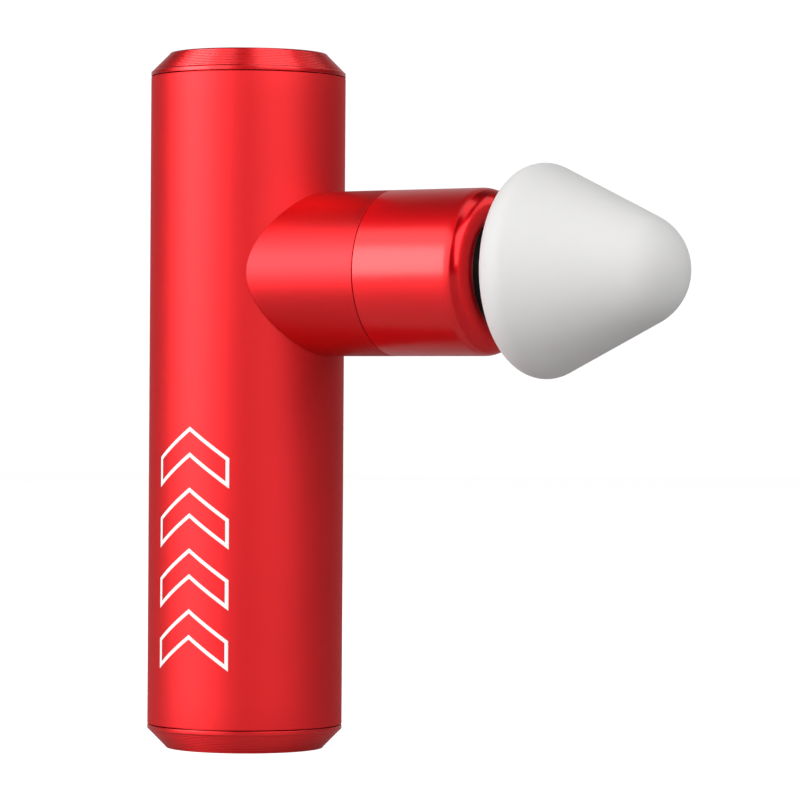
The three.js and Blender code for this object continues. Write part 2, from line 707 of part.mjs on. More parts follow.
function headCore() {
  const skinSide = headOutline(HEAD_SKIN + GAP, 2, 3);
  const plug = HEAD_OPENING - GAP;
  const back = HEAD_BACK_X + 0.2;
  const outer = [
    [0, STEM_REAR_X],
    [STEM_RADIUS - 0.6, STEM_REAR_X],
    [STEM_RADIUS, STEM_REAR_X + 0.8],
    ...stemGrooves(),
    [STEM_RADIUS, back],
    [plug, back],
    [plug, HEAD_BACK_X + HEAD_SKIN + GAP],
    ...skinSide,
  ];
  const inset = HEAD_SKIN + GAP + HEAD_CORE_WALL;
  const roof = headOutline(inset, 1, 3).filter(([radius]) => radius > STEM_RADIUS + 1);
  const floorX = HEAD_BACK_X + HEAD_SKIN + GAP + HEAD_CORE_WALL;
  const hollow = [
    [STEM_RADIUS + 1, floorX],
    [HEAD_RIM_RING - 1, floorX],
    ...roof,
    [STEM_RADIUS + 1, HEAD_NOSE_X + 2],
  ];
  const vents = Array.from({ length: VENT_COUNT }, (_, i) => {
    const place = polar(VENT_CIRCLE, (2 * Math.PI * i) / VENT_COUNT);
    return alongArm(post(VENT_RADIUS, [back - 1, floorX + 1], place.x, place.y, 8));
  });
  const shell = cut(turnedAlongArm(outer, ROUND), turnedAlongArm(hollow, ROUND), ...vents);
  return named("head_core", shell, FINISH.greyPlastic);
}

function stemRing(name, x) {
  const middle = STEM_RADIUS - STEM_GROOVE_DEPTH + 0.05 + STEM_RING_SECTION;
  const section = arc(middle, x, STEM_RING_SECTION, 0, 288, 4);
  return named(name, turnedAlongArm(section, ROUND), FINISH.blackRubber);
}

// ---- Battery ----

function batteryCell(name, y) {
  const top = CELL_Z + CELL_LENGTH;
  const outline = [
    [0, CELL_Z],
    [CELL_RADIUS - 0.5, CELL_Z],
    [CELL_RADIUS, CELL_Z + 0.5],
    [CELL_RADIUS, top - 0.5],
    [CELL_RADIUS - 0.5, top],
    [0, top],
  ];
  return named(name, turned(outline).translate(0, y, 0), FINISH.cellWrap);
}

function batteryHolder() {
  const blank = post(CHASSIS_RADIUS, [HOLDER_Z, HOLDER_TOP_Z], 0, 0, MEDIUM);
  const inside = [HOLDER_Z + HOLDER_PLATE, HOLDER_TOP_Z - HOLDER_PLATE];
  const pockets = [-CELL_Y, CELL_Y].map((y) => post(CELL_RADIUS + GAP, inside, 0, y, COARSE));
  const width = [-LEAD_NOTCH_HALF, LEAD_NOTCH_HALF];
  const board = block([-FAR, CHARGE_BOARD_X + 1.4], width, inside);
  const frontRelief = block([CELL_RADIUS + 2, FAR], width, inside);
  const tabChannel = block([-3, 3], [-12, 12], [inside[0], CELL_Z + 0.6]);
  const lid = [HOLDER_TOP_Z - 2 * HOLDER_PLATE, HOLDER_TOP_Z + 1];
  const leadHoles = [-CELL_Y, CELL_Y].map((y) => post(1.1, lid, 0, y, 12));
  const holder = cut(blank, ...pockets, board, frontRelief, tabChannel, ...leadHoles);
  return named("battery_holder", holder, FINISH.blackPlastic);
}

function seriesTab() {
  const low = CELL_Z - GAP - TAB;
  const strip = block([-2.5, 2.5], [-CELL_Y - 4, CELL_Y + 4], [low, low + TAB]);
  return named("series_tab", strip, FINISH.nickel);
}

function endTab(name, y) {
  const low = CELL_Z + CELL_LENGTH + GAP;
  return named(name, post(4, [low, low + TAB], 0, y, 20), FINISH.nickel);
}

function batteryLead(name, y) {
  const low = CELL_Z + CELL_LENGTH + 2 * GAP + TAB;
  return named(name, post(0.7, [low, BOARD_Z - GAP], 0, y, 12), FINISH.copper);
}

function batteryFoamPad() {
  const pad = post(SPIGOT_BORE - 0.4, [CAP_PLATE + GAP, HOLDER_Z - GAP]);
  return named("battery_foam_pad", pad, FINISH.foam);
}

// ---- Electronics ----

function onBoard(x, y, width, depth, height) {
  const low = BOARD_Z + BOARD + GAP;
  return block([x - width / 2, x + width / 2], [y - depth / 2, y + depth / 2], [low, low + height]);
}

function controlBoard() {
  return named("control_board", post(BOARD_RADIUS, [BOARD_Z, BOARD_Z + BOARD]), FINISH.circuitBoard);
}

function smoothingCapacitor() {
  const low = BOARD_Z + BOARD + GAP;
  return named("smoothing_capacitor", post(4, [low, low + 9], 9, 6, 24), FINISH.aluminium);
}

function chargeBoard() {
  const board = block([CHARGE_BOARD_X, CHARGE_BOARD_X + 1], [-7, 7], [15, 48]);
  return named("charge_board", board, FINISH.circuitBoard);
}

function usbSocket() {
  const back = CHARGE_BOARD_X - GAP;
  const shell = slotBlock(PORT_WIDTH, PORT_HEIGHT, [PORT_MOUTH_X, back], PORT_Z);
  const width = PORT_WIDTH - 2 * PORT_SHELL;
  const height = PORT_HEIGHT - 2 * PORT_SHELL;
  const inside = slotBlock(width, height, [PORT_MOUTH_X - 1, back - 0.6], PORT_Z);
  return named("usb_socket", cut(shell, inside), FINISH.steel);
}

function usbTongue() {
  const rear = CHARGE_BOARD_X - 3 * GAP;
  const tongue = block([PORT_MOUTH_X + 1.5, rear], [-3.3, 3.3], [PORT_Z - 0.35, PORT_Z + 0.35]);
  return named("usb_tongue", tongue, FINISH.blackPlastic);
}

function chargeLightPipe() {
  const places = lightPlaces();
  const bar = block([-17.9, -16.7], [-1.6, 1.6], [places[0] - 2, places[LIGHT_COUNT - 1] + 2]);
  const tips = places.map((z) => crossPost(LIGHT_RADIUS, [-TUBE_RADIUS + 0.05, -17.5], 0, z, 12));
  return named("charge_light_pipe", joined(bar, ...tips), FINISH.clearPlastic);
}

function buttonLead() {
  const top = HANDLE_HEIGHT - BUTTON_BOARD_DEPTH - BOARD - GAP;
  return named("button_lead", block([-17.7, -17.2], [-2.5, 2.5], [BOARD_Z + 2, top]), FINISH.blackPlastic);
}

function motorLead() {
  const top = PLATE_Z + PLATE + 1.1;
  const upright = block([-16.9, -16.3], [3.2, 6.8], [BOARD_Z + 2, top]);
  const level = block([-16.9, -5.3], [3.2, 6.8], [top - 0.6, top]);
  return named("motor_lead", joined(upright, level), FINISH.blackPlastic);
}

// ---- Assembly ----

function group(...meshes) {
  const made = new THREE.Group();
  made.add(...meshes);
  return made;
}

const handleShell = group(
  bodyTube(),
  bottomCap(),
  topCap(),
  capSeal("bottom_cap_seal", SEAL_MIDDLE),
  capSeal("top_cap_seal", HANDLE_HEIGHT - SEAL_MIDDLE)
);

const buttonSet = group(powerButton(), lightRing(), buttonReturnRing(), tactSwitch(), buttonBoard());

const arm = group(
  armCollar(),
  jointRing(),
  armSleeve(),
  guideHousing(),
  guideBush(),
  vibrationRing(),
  frontDustSeal()
);

const motor = group(
  motorChassis(),
  motorPlate(),
  ...screwPlaces().map((place, i) => plateScrew(i + 1, place)),
  bearing("lower_bearing", PLATE_Z + GAP),
  bearing("upper_bearing", BEARING_TUBE_TOP_Z - BEARING_WIDTH - 0.2),
  statorCore(),
  statorWindings(),
  motorBell(),
  magnetRing(),
  motorShaft()
);

const crankDrive = group(crankDisc(), crankPin(), crankRoller(), plungerYoke(), plungerRod());

const head = group(
  massageHead(),
  headCore(),
  stemRing("stem_ring_rear", STEM_RING_X[0]),
  stemRing("stem_ring_front", STEM_RING_X[1])
);

const battery = group(
  batteryCell("battery_cell_left", -CELL_Y),
  batteryCell("battery_cell_right", CELL_Y),
  batteryHolder(),
  seriesTab(),
  endTab("positive_tab", -CELL_Y),
  endTab("negative_tab", CELL_Y),
  batteryLead("positive_lead", -CELL_Y),
  batteryLead("negative_lead", CELL_Y),
  batteryFoamPad()
);

const electronics = group(
  controlBoard(),
  named("controller_chip", onBoard(-7, 5, 7, 7, 1), FINISH.blackPlastic),
  named("motor_driver_chip", onBoard(-1, -3, 6, 5, 1), FINISH.blackPlastic),
  smoothingCapacitor(),
  named("battery_connector", onBoard(2, -11.5, 8, 5, 4), FINISH.greyPlastic),
  chargeBoard(),
  usbSocket(),
  usbTongue(),
  chargeLightPipe(),
  buttonLead(),
  motorLead()
);

const massageGun = group(handleShell, buttonSet, arm, motor, crankDrive, head, battery, electronics);

export default massageGun;
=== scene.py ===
"""Looks for a hand-held massage gun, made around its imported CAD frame.

Places are in metres, in the frame's own axes: +Z up the handle and +X along the arm to the head.
Detail sizes are written in millimetres as a number times MM.
"""

import logging
import math
from collections.abc import Callable, Iterable, Sequence
from dataclasses import dataclass, field
from enum import Enum

import bmesh
import bpy
from mathutils import Matrix, Quaternion, Vector


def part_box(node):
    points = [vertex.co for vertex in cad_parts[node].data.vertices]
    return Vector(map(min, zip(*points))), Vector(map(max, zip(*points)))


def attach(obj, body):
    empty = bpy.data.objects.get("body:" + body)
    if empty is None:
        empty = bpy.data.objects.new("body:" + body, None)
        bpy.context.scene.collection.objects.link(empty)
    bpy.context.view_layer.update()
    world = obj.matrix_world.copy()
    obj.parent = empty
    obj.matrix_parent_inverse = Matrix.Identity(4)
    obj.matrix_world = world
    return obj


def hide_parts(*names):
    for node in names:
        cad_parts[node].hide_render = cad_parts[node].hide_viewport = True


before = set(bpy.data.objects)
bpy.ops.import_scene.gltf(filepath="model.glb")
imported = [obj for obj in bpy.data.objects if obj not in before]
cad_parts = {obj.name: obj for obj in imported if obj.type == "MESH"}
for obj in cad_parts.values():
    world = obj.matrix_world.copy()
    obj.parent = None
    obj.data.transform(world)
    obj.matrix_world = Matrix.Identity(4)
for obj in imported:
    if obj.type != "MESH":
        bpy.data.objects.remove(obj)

MM = 0.001
LOG = logging.getLogger("massage_gun")
Colour = tuple[float, float, float]
Point = tuple[float, float]
Place = Callable[[float, float, float], Sequence[float]]


# ---- Shader expressions ----


class Wire:
    """A node's output, which can stand in an arithmetic expression."""

    def __init__(self, graph: "Graph", socket: bpy.types.NodeSocket) -> None:
        """Keeps the socket and the graph that it belongs to."""
        self.graph = graph
        self.socket = socket

    def _maths(self, operation: str, first: "Wire | float", second: "Wire | float") -> "Wire":
        """Adds one Math node and gives its output."""
        return self.graph.node("ShaderNodeMath", {"operation": operation}, {0: first, 1: second})

    def __add__(self, other: "Wire | float") -> "Wire":
        """self + other."""
        return self._maths("ADD", self, other)

    __radd__ = __add__

    def __mul__(self, other: "Wire | float") -> "Wire":
        """self * other."""
        return self._maths("MULTIPLY", self, other)

    __rmul__ = __mul__

    def __pow__(self, other: "Wire | float") -> "Wire":
        """self to the power other."""
        return self._maths("POWER", self, other)

    def __gt__(self, other: "Wire | float") -> "Wire":
        """1 where self is over other, else 0."""
        return self._maths("GREATER_THAN", self, other)


class Graph:
    """A node tree that is being put together."""

    def __init__(self, tree: bpy.types.NodeTree) -> None:
        """Starts with an empty tree."""
        self.tree = tree
        tree.nodes.clear()

    def node(
        self,
        kind: str,
        settings: dict | None = None,
        sockets: dict | None = None,
        output: int | str = 0,
    ) -> Wire | None:
        """Adds a node.

        Args:
            kind: the node's type.
            settings: its properties.
            sockets: values or wires for its inputs.
            output: which output to give.

        Returns:
            The wire from that output, or nothing for a node without outputs.
        """
        made = self.tree.nodes.new(kind)
        for key, value in (settings or {}).items():
            setattr(made, key, value)
        for key, value in (sockets or {}).items():
            if isinstance(value, Wire):
                self.tree.links.new(value.socket, made.inputs[key])
            else:
                made.inputs[key].default_value = value
        return Wire(self, made.outputs[output]) if made.outputs else None


class Shader(Graph):
    """A material that is being put together round one Principled shader."""

    def __init__(self, name: str) -> None:
        """Makes the material and shows the Principled shader.

        Args:
            name: the material's name.
        """
        self.material = bpy.data.materials.new(name)
        self.material.use_nodes = True
        super().__init__(self.material.node_tree)
        self.principled = self.node("ShaderNodeBsdfPrincipled")
        self.surface = self.principled.socket.node
        self.show(self.principled)

    def show(self, surface: Wire) -> None:
        """Makes a shader the one that is seen, in place of the one before.

        Args:
            surface: the shader to show.
        """
        ends = [node for node in self.tree.nodes if node.type == "OUTPUT_MATERIAL"]
        for end in ends:
            self.tree.nodes.remove(end)
        self.node("ShaderNodeOutputMaterial", {}, {"Surface": surface})

    def place(self) -> Wire:
        """The point on the piece, in the piece's own axes, in metres."""
        return self.node("ShaderNodeTexCoord", output="Object")

    def parts(self, point: Wire) -> tuple[Wire, Wire, Wire]:
        """The x, y and z of a point.

        Args:
            point: the point.

        Returns:
            The wires of x, y and z.
        """
        x = self.node("ShaderNodeSeparateXYZ", sockets={0: point})
        outputs = x.socket.node.outputs
        return Wire(self, outputs[0]), Wire(self, outputs[1]), Wire(self, outputs[2])

    def stretched(self, scale: Sequence[float]) -> Wire:
        """The point on the piece with each axis scaled."""
        return self.node("ShaderNodeMapping", {}, {"Vector": self.place(), "Scale": scale})

    def noise(self, scale: Sequence[float], detail: float = 3.0, rough: float = 0.5) -> Wire:
        """Smooth noise from 0 to 1.

        Args:
            scale: blotches per metre along x, y and z.
            detail: how many finer layers it has.
            rough: how strong the finer layers are.

        Returns:
            The wire of the noise value.
        """
        sockets = {"Vector": self.stretched(scale), "Scale": 1.0, "Detail": detail, "Roughness": rough}
        return self.node("ShaderNodeTexNoise", {}, sockets)

    def cells(self, scale: float, smooth: float = 0.6) -> Wire:
        """Distance to the nearest of many scattered points, from 0 up.

        Args:
            scale: points per metre.
            smooth: how far the cells run into each other.

        Returns:
            The wire of the distance.
        """
        settings = {"feature": "SMOOTH_F1"}
        sockets = {"Vector": self.place(), "Scale": scale, "Smoothness": smooth}
        return self.node("ShaderNodeTexVoronoi", settings, sockets)

    def blend(self, amount: Wire, first: Colour, second: Colour) -> Wire:
        """A colour between two colours.

        Args:
            amount: from 0 for the first colour to 1 for the second.
            first: the first colour.
            second: the second colour.

        Returns:
            The wire of the colour.
        """
        settings = {"data_type": "RGBA"}
        sockets = {0: amount, 6: (*first, 1.0), 7: (*second, 1.0)}
        return self.node("ShaderNodeMix", settings, sockets, output=2)

    def span(self, value: Wire, low: float, high: float) -> Wire:
        """A value from 0 to 1 turned into one from low to high."""
        return value * (high - low) + low

    def bump(self, height: Wire, depth: float, strength: float = 1.0) -> None:
        """Presses a relief into the surface.

        Args:
            height: the relief, from 0 to 1.
            depth: its depth in metres.
            strength: how much of it shows.
        """
        sockets = {"Height": height, "Distance": depth, "Strength": strength}
        self.link("Normal", self.node("ShaderNodeBump", {}, sockets))

    def link(self, socket: str, wire: Wire) -> None:
        """Feeds one of the shader's varying inputs."""
        self.tree.links.new(wire.socket, self.surface.inputs[socket])

    def fixed(self, **values: object) -> None:
        """Sets inputs that are the same all over; underscores in a name stand for spaces."""
        for name, value in values.items():
            self.surface.inputs[name.replace("_", " ")].default_value = value


def shades(colour: Colour, darker: float, lighter: float) -> tuple[Colour, Colour]:
    """Two shades of a colour.

    Args:
        colour: the colour between them.
        darker: the factor of the first.
        lighter: the factor of the second.

    Returns:
        The darker and the lighter shade.
    """
    return tuple(c * darker for c in colour), tuple(c * lighter for c in colour)


def grey(value: float) -> tuple[float, float, float, float]:
    """An even grey as a socket's colour."""
    return (value, value, value, 1.0)


# ---- Finishes ----


@dataclass(frozen=True)
class Finish:
    """A finish that pieces share. Its material is made once."""

    name: str
    slot: str
    colour: Colour
    roughness: float = 0.5

    def dress(self, shader: Shader) -> None:
        """Builds the finish on a shader. Each kind of finish has its own."""
        raise NotImplementedError

    def material(self) -> bpy.types.Material:
        """The material of this finish, made on the first call.

        Returns:
            The material.
        """
        found = bpy.data.materials.get(self.name)
        if found:
            return found
        shader = Shader(self.name)
        self.dress(shader)
        shader.material.diffuse_color = (*self.colour, 1.0)
        return shader.material


@dataclass(frozen=True)
class Anodised(Finish):
    """Dyed anodised aluminium: bright metal under a clear dyed film."""

    film: float = 0.5
    film_roughness: float = 0.35
    grain: float = 3000.0
    grain_depth: float = 0.004 * MM
    turned: tuple[float, float, float] | None = None
    rim: Colour = (1.0, 0.35, 0.4)

    def dress(self, shader: Shader) -> None:
        """Blasted grain, or fine lines from turning, with a slight drift of the dye.

        Args:
            shader: the shader that the finish is built on.
        """
        drift = shader.noise((55.0, 55.0, 55.0), 2.0)
        shader.link("Base Color", shader.blend(drift, *shades(self.colour, 0.95, 1.05)))
        shader.fixed(Metallic=1.0, Coat_Weight=self.film, Coat_Roughness=self.film_roughness)
        shader.fixed(Specular_Tint=(*self.rim, 1.0))
        grain = shader.noise((self.grain,) * 3, 2.0)
        shader.link("Roughness", shader.span(grain, self.roughness - 0.02, self.roughness + 0.02))
        relief = shader.noise(self.turned, 1.0) if self.turned else grain
        shader.bump(relief, self.grain_depth)


@dataclass(frozen=True)
class TurnedEnd(Finish):
    """Dyed anodised aluminium faced off on a lathe, with fine rings round the Z axis."""

    ring_pitch: float = 0.22 * MM
    ring_depth: float = 0.003 * MM
    film: float = 1.0
    film_roughness: float = 0.25
    rim: Colour = (1.0, 0.35, 0.4)

    def dress(self, shader: Shader) -> None:
        """Rings by the distance from the axis, each a little different from the next.

        Args:
            shader: the shader that the finish is built on.
        """
        x, y, z = shader.parts(shader.place())
        radius = (x * x + y * y) ** 0.5
        combined = shader.node("ShaderNodeCombineXYZ", {}, {0: radius * (1 / self.ring_pitch), 2: z * 400.0})
        rings = shader.node("ShaderNodeTexNoise", {}, {"Vector": combined, "Scale": 1.0, "Detail": 2.0})
        shader.link("Base Color", shader.blend(rings, *shades(self.colour, 0.9, 1.1)))
        shader.link("Roughness", shader.span(rings, self.roughness - 0.06, self.roughness + 0.06))
        shader.fixed(Metallic=1.0, Coat_Weight=self.film, Coat_Roughness=self.film_roughness)
        shader.fixed(Specular_Tint=(*self.rim, 1.0))
        shader.bump(rings, self.ring_depth)


@dataclass(frozen=True)
class Silicone(Finish):
    """Matt soft-touch silicone with a faint moulded grain."""

    glow: float = 0.12
    glow_depth: float = 1.5 * MM
    grain: float = 2600.0
    grain_depth: float = 0.006 * MM

    def dress(self, shader: Shader) -> None:
        """Even colour with the slightest clouding, and a powdery grain.

        Args:
            shader: the shader that the finish is built on.
        """
        cloud = shader.noise((38.0, 38.0, 38.0), 2.0)
        shader.link("Base Color", shader.blend(cloud, *shades(self.colour, 0.985, 1.01)))
        grain = shader.noise((self.grain,) * 3, 3.0)
        shader.link("Roughness", shader.span(grain, self.roughness - 0.05, self.roughness + 0.05))
        shader.fixed(Subsurface_Weight=self.glow, Subsurface_Radius=(1.0, 0.9, 0.8))
        shader.fixed(Subsurface_Scale=self.glow_depth, Specular_IOR_Level=0.35, Sheen_Weight=0.08)
        shader.bump(grain, self.grain_depth)


@dataclass(frozen=True)
class Rubber(Finish):
    """Matt black or dark rubber."""

    pore_depth: float = 0.01 * MM

    def dress(self, shader: Shader) -> None:
        """Fine pores over slow patches of bloom.

        Args:
            shader: the shader that the finish is built on.
        """
        bloom = shader.noise((120.0, 120.0, 120.0), 3.0)
        shader.link("Base Color", shader.blend(bloom, *shades(self.colour, 0.8, 1.3)))
        pores = shader.noise((4000.0,) * 3, 2.0)
        shader.link("Roughness", shader.span(pores, self.roughness - 0.08, self.roughness + 0.08))
        shader.fixed(Specular_IOR_Level=0.3)
        shader.bump(pores, self.pore_depth)


@dataclass(frozen=True)
class Moulded(Finish):
    """Moulded plastic with a spark-eroded texture."""

    texture_depth: float = 0.012 * MM
    clear: float = 0.0

    def dress(self, shader: Shader) -> None:
        """A cellular grain, duller in its hollows.

        Args:
            shader: the shader that the finish is built on.
        """
        grain = shader.cells(2200.0)
        patch = shader.noise((70.0, 70.0, 70.0), 2.0)
        shader.link("Base Color", shader.blend(patch, *shades(self.colour, 0.92, 1.06)))
        shader.link("Roughness", shader.span(grain, self.roughness - 0.05, self.roughness + 0.1))
        shader.fixed(Transmission_Weight=self.clear, IOR=1.49)
        shader.bump(grain, self.texture_depth)


@dataclass(frozen=True)
class Machined(Finish):
    """Bare metal with cutter or grinding lines.

    The lines per metre along x, y and z give their direction.
    """

    lines: tuple[float, float, float] = (3500.0, 120.0, 120.0)
    line_depth: float = 0.003 * MM

    def dress(self, shader: Shader) -> None:
        """Long fine lines in colour, gloss and relief.

        Args:
            shader: the shader that the finish is built on.
        """
        streak = shader.noise(self.lines, 3.0, 0.6)
        shader.link("Base Color", shader.blend(streak, *shades(self.colour, 0.85, 1.1)))
        shader.link("Roughness", shader.span(streak, self.roughness - 0.08, self.roughness + 0.12))
        shader.fixed(Metallic=1.0)
        shader.bump(streak, self.line_depth)


@dataclass(frozen=True)
class Enamelled(Finish):
    """Copper wire under a clear enamel."""

    def dress(self, shader: Shader) -> None:
        """Warm and dark stretches under a glossy film.

        Args:
            shader: the shader that the finish is built on.
        """
        drift = shader.noise((300.0, 300.0, 900.0), 2.0)
        shader.link("Base Color", shader.blend(drift, *shades(self.colour, 0.7, 1.2)))
        shader.link("Roughness", shader.span(drift, self.roughness - 0.08, self.roughness + 0.08))
        shader.fixed(Metallic=1.0, Coat_Weight=0.6, Coat_Roughness=0.15)


@dataclass(frozen=True)
class Laminate(Finish):
    """A circuit board: solder mask over a weave, with copper tracks under it."""

    weave_depth: float = 0.02 * MM

    def dress(self, shader: Shader) -> None:
        """Lighter tracks in the mask and a faint weave in the relief.

        Args:
            shader: the shader that the finish is built on.
        """
        tracks = shader.cells(260.0, 0.0) > 0.62
        shader.link("Base Color", shader.blend(tracks, *shades(self.colour, 0.8, 1.9)))
        weave = shader.noise((1500.0, 1500.0, 60.0), 1.0)
        shader.link("Roughness", shader.span(weave, self.roughness - 0.05, self.roughness + 0.1))
        shader.bump(weave + tracks, self.weave_depth)


@dataclass(frozen=True)
class Foamed(Finish):
    """Closed-cell foam."""

    pit_depth: float = 0.15 * MM

    def dress(self, shader: Shader) -> None:
        """Open pits of the cut cells, in relief, with painted shade darkening the colour in the pits.

        Args:
            shader: the shader that the finish is built on.
        """
        pits_and_shade = shader.cells(1400.0, 0.2)
        # painted shade: the colour is darkened in the pits and lighter between them
        shader.link("Base Color", shader.blend(pits_and_shade, *shades(self.colour, 0.5, 1.4)))
        shader.link("Roughness", shader.span(pits_and_shade, self.roughness - 0.06, self.roughness))
        shader.bump(pits_and_shade, self.pit_depth)


@dataclass(frozen=True)
class Ink(Finish):
    """Opaque printed ink."""

    mottle_depth: float = 0.002 * MM

    def dress(self, shader: Shader) -> None:
        """A thin film with a slight mottle from the printing pad.

        Args:
            shader: the shader that the finish is built on.
        """
        mottle = shader.noise((2500.0,) * 3, 2.0)
        shader.link("Base Color", shader.blend(mottle, *shades(self.colour, 0.97, 1.0)))
        shader.link("Roughness", shader.span(mottle, self.roughness - 0.06, self.roughness + 0.06))
        shader.bump(mottle, self.mottle_depth)


RED: Colour = (0.88, 0.0045, 0.010)
MATT_RED = Anodised("matt_red_anodised", "matt_red_aluminium", RED, 0.54, film=0.75, film_roughness=0.48)
SATIN_RED = Anodised(
    "satin_red_anodised", "matt_red_aluminium", RED, 0.44,
    film=0.68, film_roughness=0.4, grain_depth=0.002 * MM, rim=(0.3, 0.1, 0.12),
)
POLISHED_RED = Anodised(
    "polished_red_anodised", "polished_red_aluminium", RED, 0.54,
    film=1.0, film_roughness=0.24, grain_depth=0.0015 * MM, turned=(5000.0, 40.0, 40.0),
)
BRIGHT_CUT_RED = Anodised(
    "bright_cut_red_anodised", "polished_red_aluminium", RED, 0.3,
    film=0.6, film_roughness=0.12, grain_depth=0.001 * MM,
)
TURNED_RED = TurnedEnd("turned_red_anodised", "matt_red_aluminium", RED, 0.38)
WHITE_SILICONE = Silicone("white_silicone", "silicone", (0.695, 0.69, 0.685), 0.62)
BLACK_RUBBER = Rubber("black_rubber", "black_rubber", (0.006, 0.006, 0.006), 0.6)
BLACK_PLASTIC = Moulded("black_plastic", "black_plastic", (0.02, 0.02, 0.022), 0.48)
GREY_PLASTIC = Moulded("grey_plastic", "grey_plastic", (0.22, 0.235, 0.25), 0.5)
FROSTED_PLASTIC = Moulded("frosted_plastic", "clear_plastic", (0.82, 0.87, 0.88), 0.35, 0.006 * MM, clear=0.5)
CELL_WRAP = Moulded("cell_wrap", "cell_wrap", (0.03, 0.2, 0.36), 0.3, 0.003 * MM)
BRIGHT_STEEL = Machined("bright_steel", "bright_steel", (0.6, 0.61, 0.62), 0.28)
DARK_STEEL = Machined("dark_steel", "dark_steel", (0.08, 0.085, 0.095), 0.4)
CORE_STEEL = Machined(
    "laminated_steel", "dark_steel", (0.16, 0.165, 0.175), 0.42, (60.0, 60.0, 3300.0), 0.02 * MM
)
BRONZE = Machined("sintered_bronze", "bronze", (0.4, 0.21, 0.07), 0.42, (900.0, 900.0, 900.0))
NICKEL = Machined("nickel_strip", "nickel", (0.66, 0.63, 0.56), 0.25, (100.0, 3000.0, 100.0))
ALUMINIUM = Machined("machined_aluminium", "bare_aluminium", (0.62, 0.63, 0.65), 0.32)
COPPER_WIRE = Enamelled("enamelled_wire", "copper", (0.55, 0.17, 0.06), 0.3)
BOARD = Laminate("circuit_board", "circuit_board", (0.015, 0.12, 0.045), 0.4)
FOAM = Foamed("closed_cell_foam", "foam", (0.05, 0.05, 0.055), 0.95)
WHITE_INK = Ink("white_ink", "silicone", (0.92, 0.92, 0.92), 0.5)


# ---- Making meshes ----


class Axis(Enum):
    """The two axes that round pieces are turned about."""

    HANDLE = "z"
    ARM = "x"


@dataclass(frozen=True)
class Corner:
    """One corner of an outline: its distance from the axis, its place along it and its rounding."""

    radius: float
    along: float
    rounding: float = 0.0


@dataclass(frozen=True)
class Extent:
    """The box of a CAD node."""

    low: Vector
    high: Vector

    @classmethod
    def of(cls, node: str) -> "Extent":
        """The box of the named node."""
        low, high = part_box(node)
        return cls(Vector(low), Vector(high))

    @property
    def middle(self) -> Vector:
        """The box's centre."""
        return (self.low + self.high) / 2

    @property
    def size(self) -> Vector:
        """The box's sides."""
        return self.high - self.low


ARM_Z = Extent.of("arm_sleeve").middle.z
CRISP, BROKEN, FINE, EASED = 0.05 * MM, 0.1 * MM, 0.15 * MM, 0.2 * MM
SOFT, MILD, FULL, WIDE = 0.3 * MM, 0.4 * MM, 0.5 * MM, 0.8 * MM
SHARP = math.radians(34)
ARC_STEP = math.radians(11)


def rounded(corners: Sequence[Corner], closed: bool) -> list[Point]:
    """Rounds the corners of an outline.

    Args:
        corners: the outline's corners, in order.
        closed: whether the last corner joins the first.

    Returns:
        The outline's points, with an arc at each rounded corner.
    """
    points: list[Point] = []
    count = len(corners)
    for i, corner in enumerate(corners):
        here = Vector((corner.radius, corner.along))
        at_end = not closed and i in (0, count - 1)
        if corner.rounding <= 0 or at_end:
            points.append(tuple(here))
            continue
        last, following = corners[i - 1], corners[(i + 1) % count]
        back = Vector((last.radius, last.along)) - here
        ahead = Vector((following.radius, following.along)) - here
        half = back.angle(ahead) / 2
        reach = min(corner.rounding / math.tan(half), 0.49 * back.length, 0.49 * ahead.length)
        radius = reach * math.tan(half)
        centre = here + (back.normalized() + ahead.normalized()).normalized() * (radius / math.sin(half))
        start = here + back.normalized() * reach - centre
        sweep = -start.angle_signed(here + ahead.normalized() * reach - centre)
        steps = max(2, math.ceil(abs(sweep) / ARC_STEP))
        first = math.atan2(start.y, start.x)
        for k in range(steps + 1):
            angle = first + sweep * k / steps
            points.append((centre.x + radius * math.cos(angle), centre.y + radius * math.sin(angle)))
    return points


def arc(centre: Point, radius: float, start: float, end: float, steps: int) -> list[Point]:
    """Points on an arc.

    Args:
        centre: the arc's centre, as distance from the axis and place along it.
        radius: the arc's radius.
        start: its first angle in degrees.
        end: its last angle in degrees.
        steps: how many pieces it is cut into.

    Returns:
        The points, from the first angle to the last.
    """
    angles = [math.radians(start + (end - start) * k / steps) for k in range(steps + 1)]
    return [(centre[0] + radius * math.cos(a), centre[1] + radius * math.sin(a)) for a in angles]


def circle(radius: float, centre: Point = (0, 0)) -> list[Point]:
    """A ring of 24 points."""
    return arc(centre, radius, 0, 345, 23)


def piece_from(name: str, fill: Callable[[bmesh.types.BMesh], None]) -> bpy.types.Object:
    """Makes a mesh object.

    Args:
        name: the piece's name.
        fill: adds the vertices and faces.

    Returns:
        The new object, smooth except at its sharp edges.
    """
    shape = bmesh.new()
    fill(shape)
    bmesh.ops.recalc_face_normals(shape, faces=shape.faces)
    mesh = bpy.data.meshes.new(name)
    mark_sharp(shape)
    shape.to_mesh(mesh)
    shape.free()
    piece = bpy.data.objects.new(name, mesh)
    bpy.context.scene.collection.objects.link(piece)
    return piece


def mark_sharp(shape: bmesh.types.BMesh) -> None:
    """Shades the mesh smooth, and keeps its sharp edges.

    Args:
        shape: the mesh.
    """
    for face in shape.faces:
        face.smooth = True
    for edge in shape.edges:
        edge.smooth = edge.calc_face_angle(0.0) < SHARP


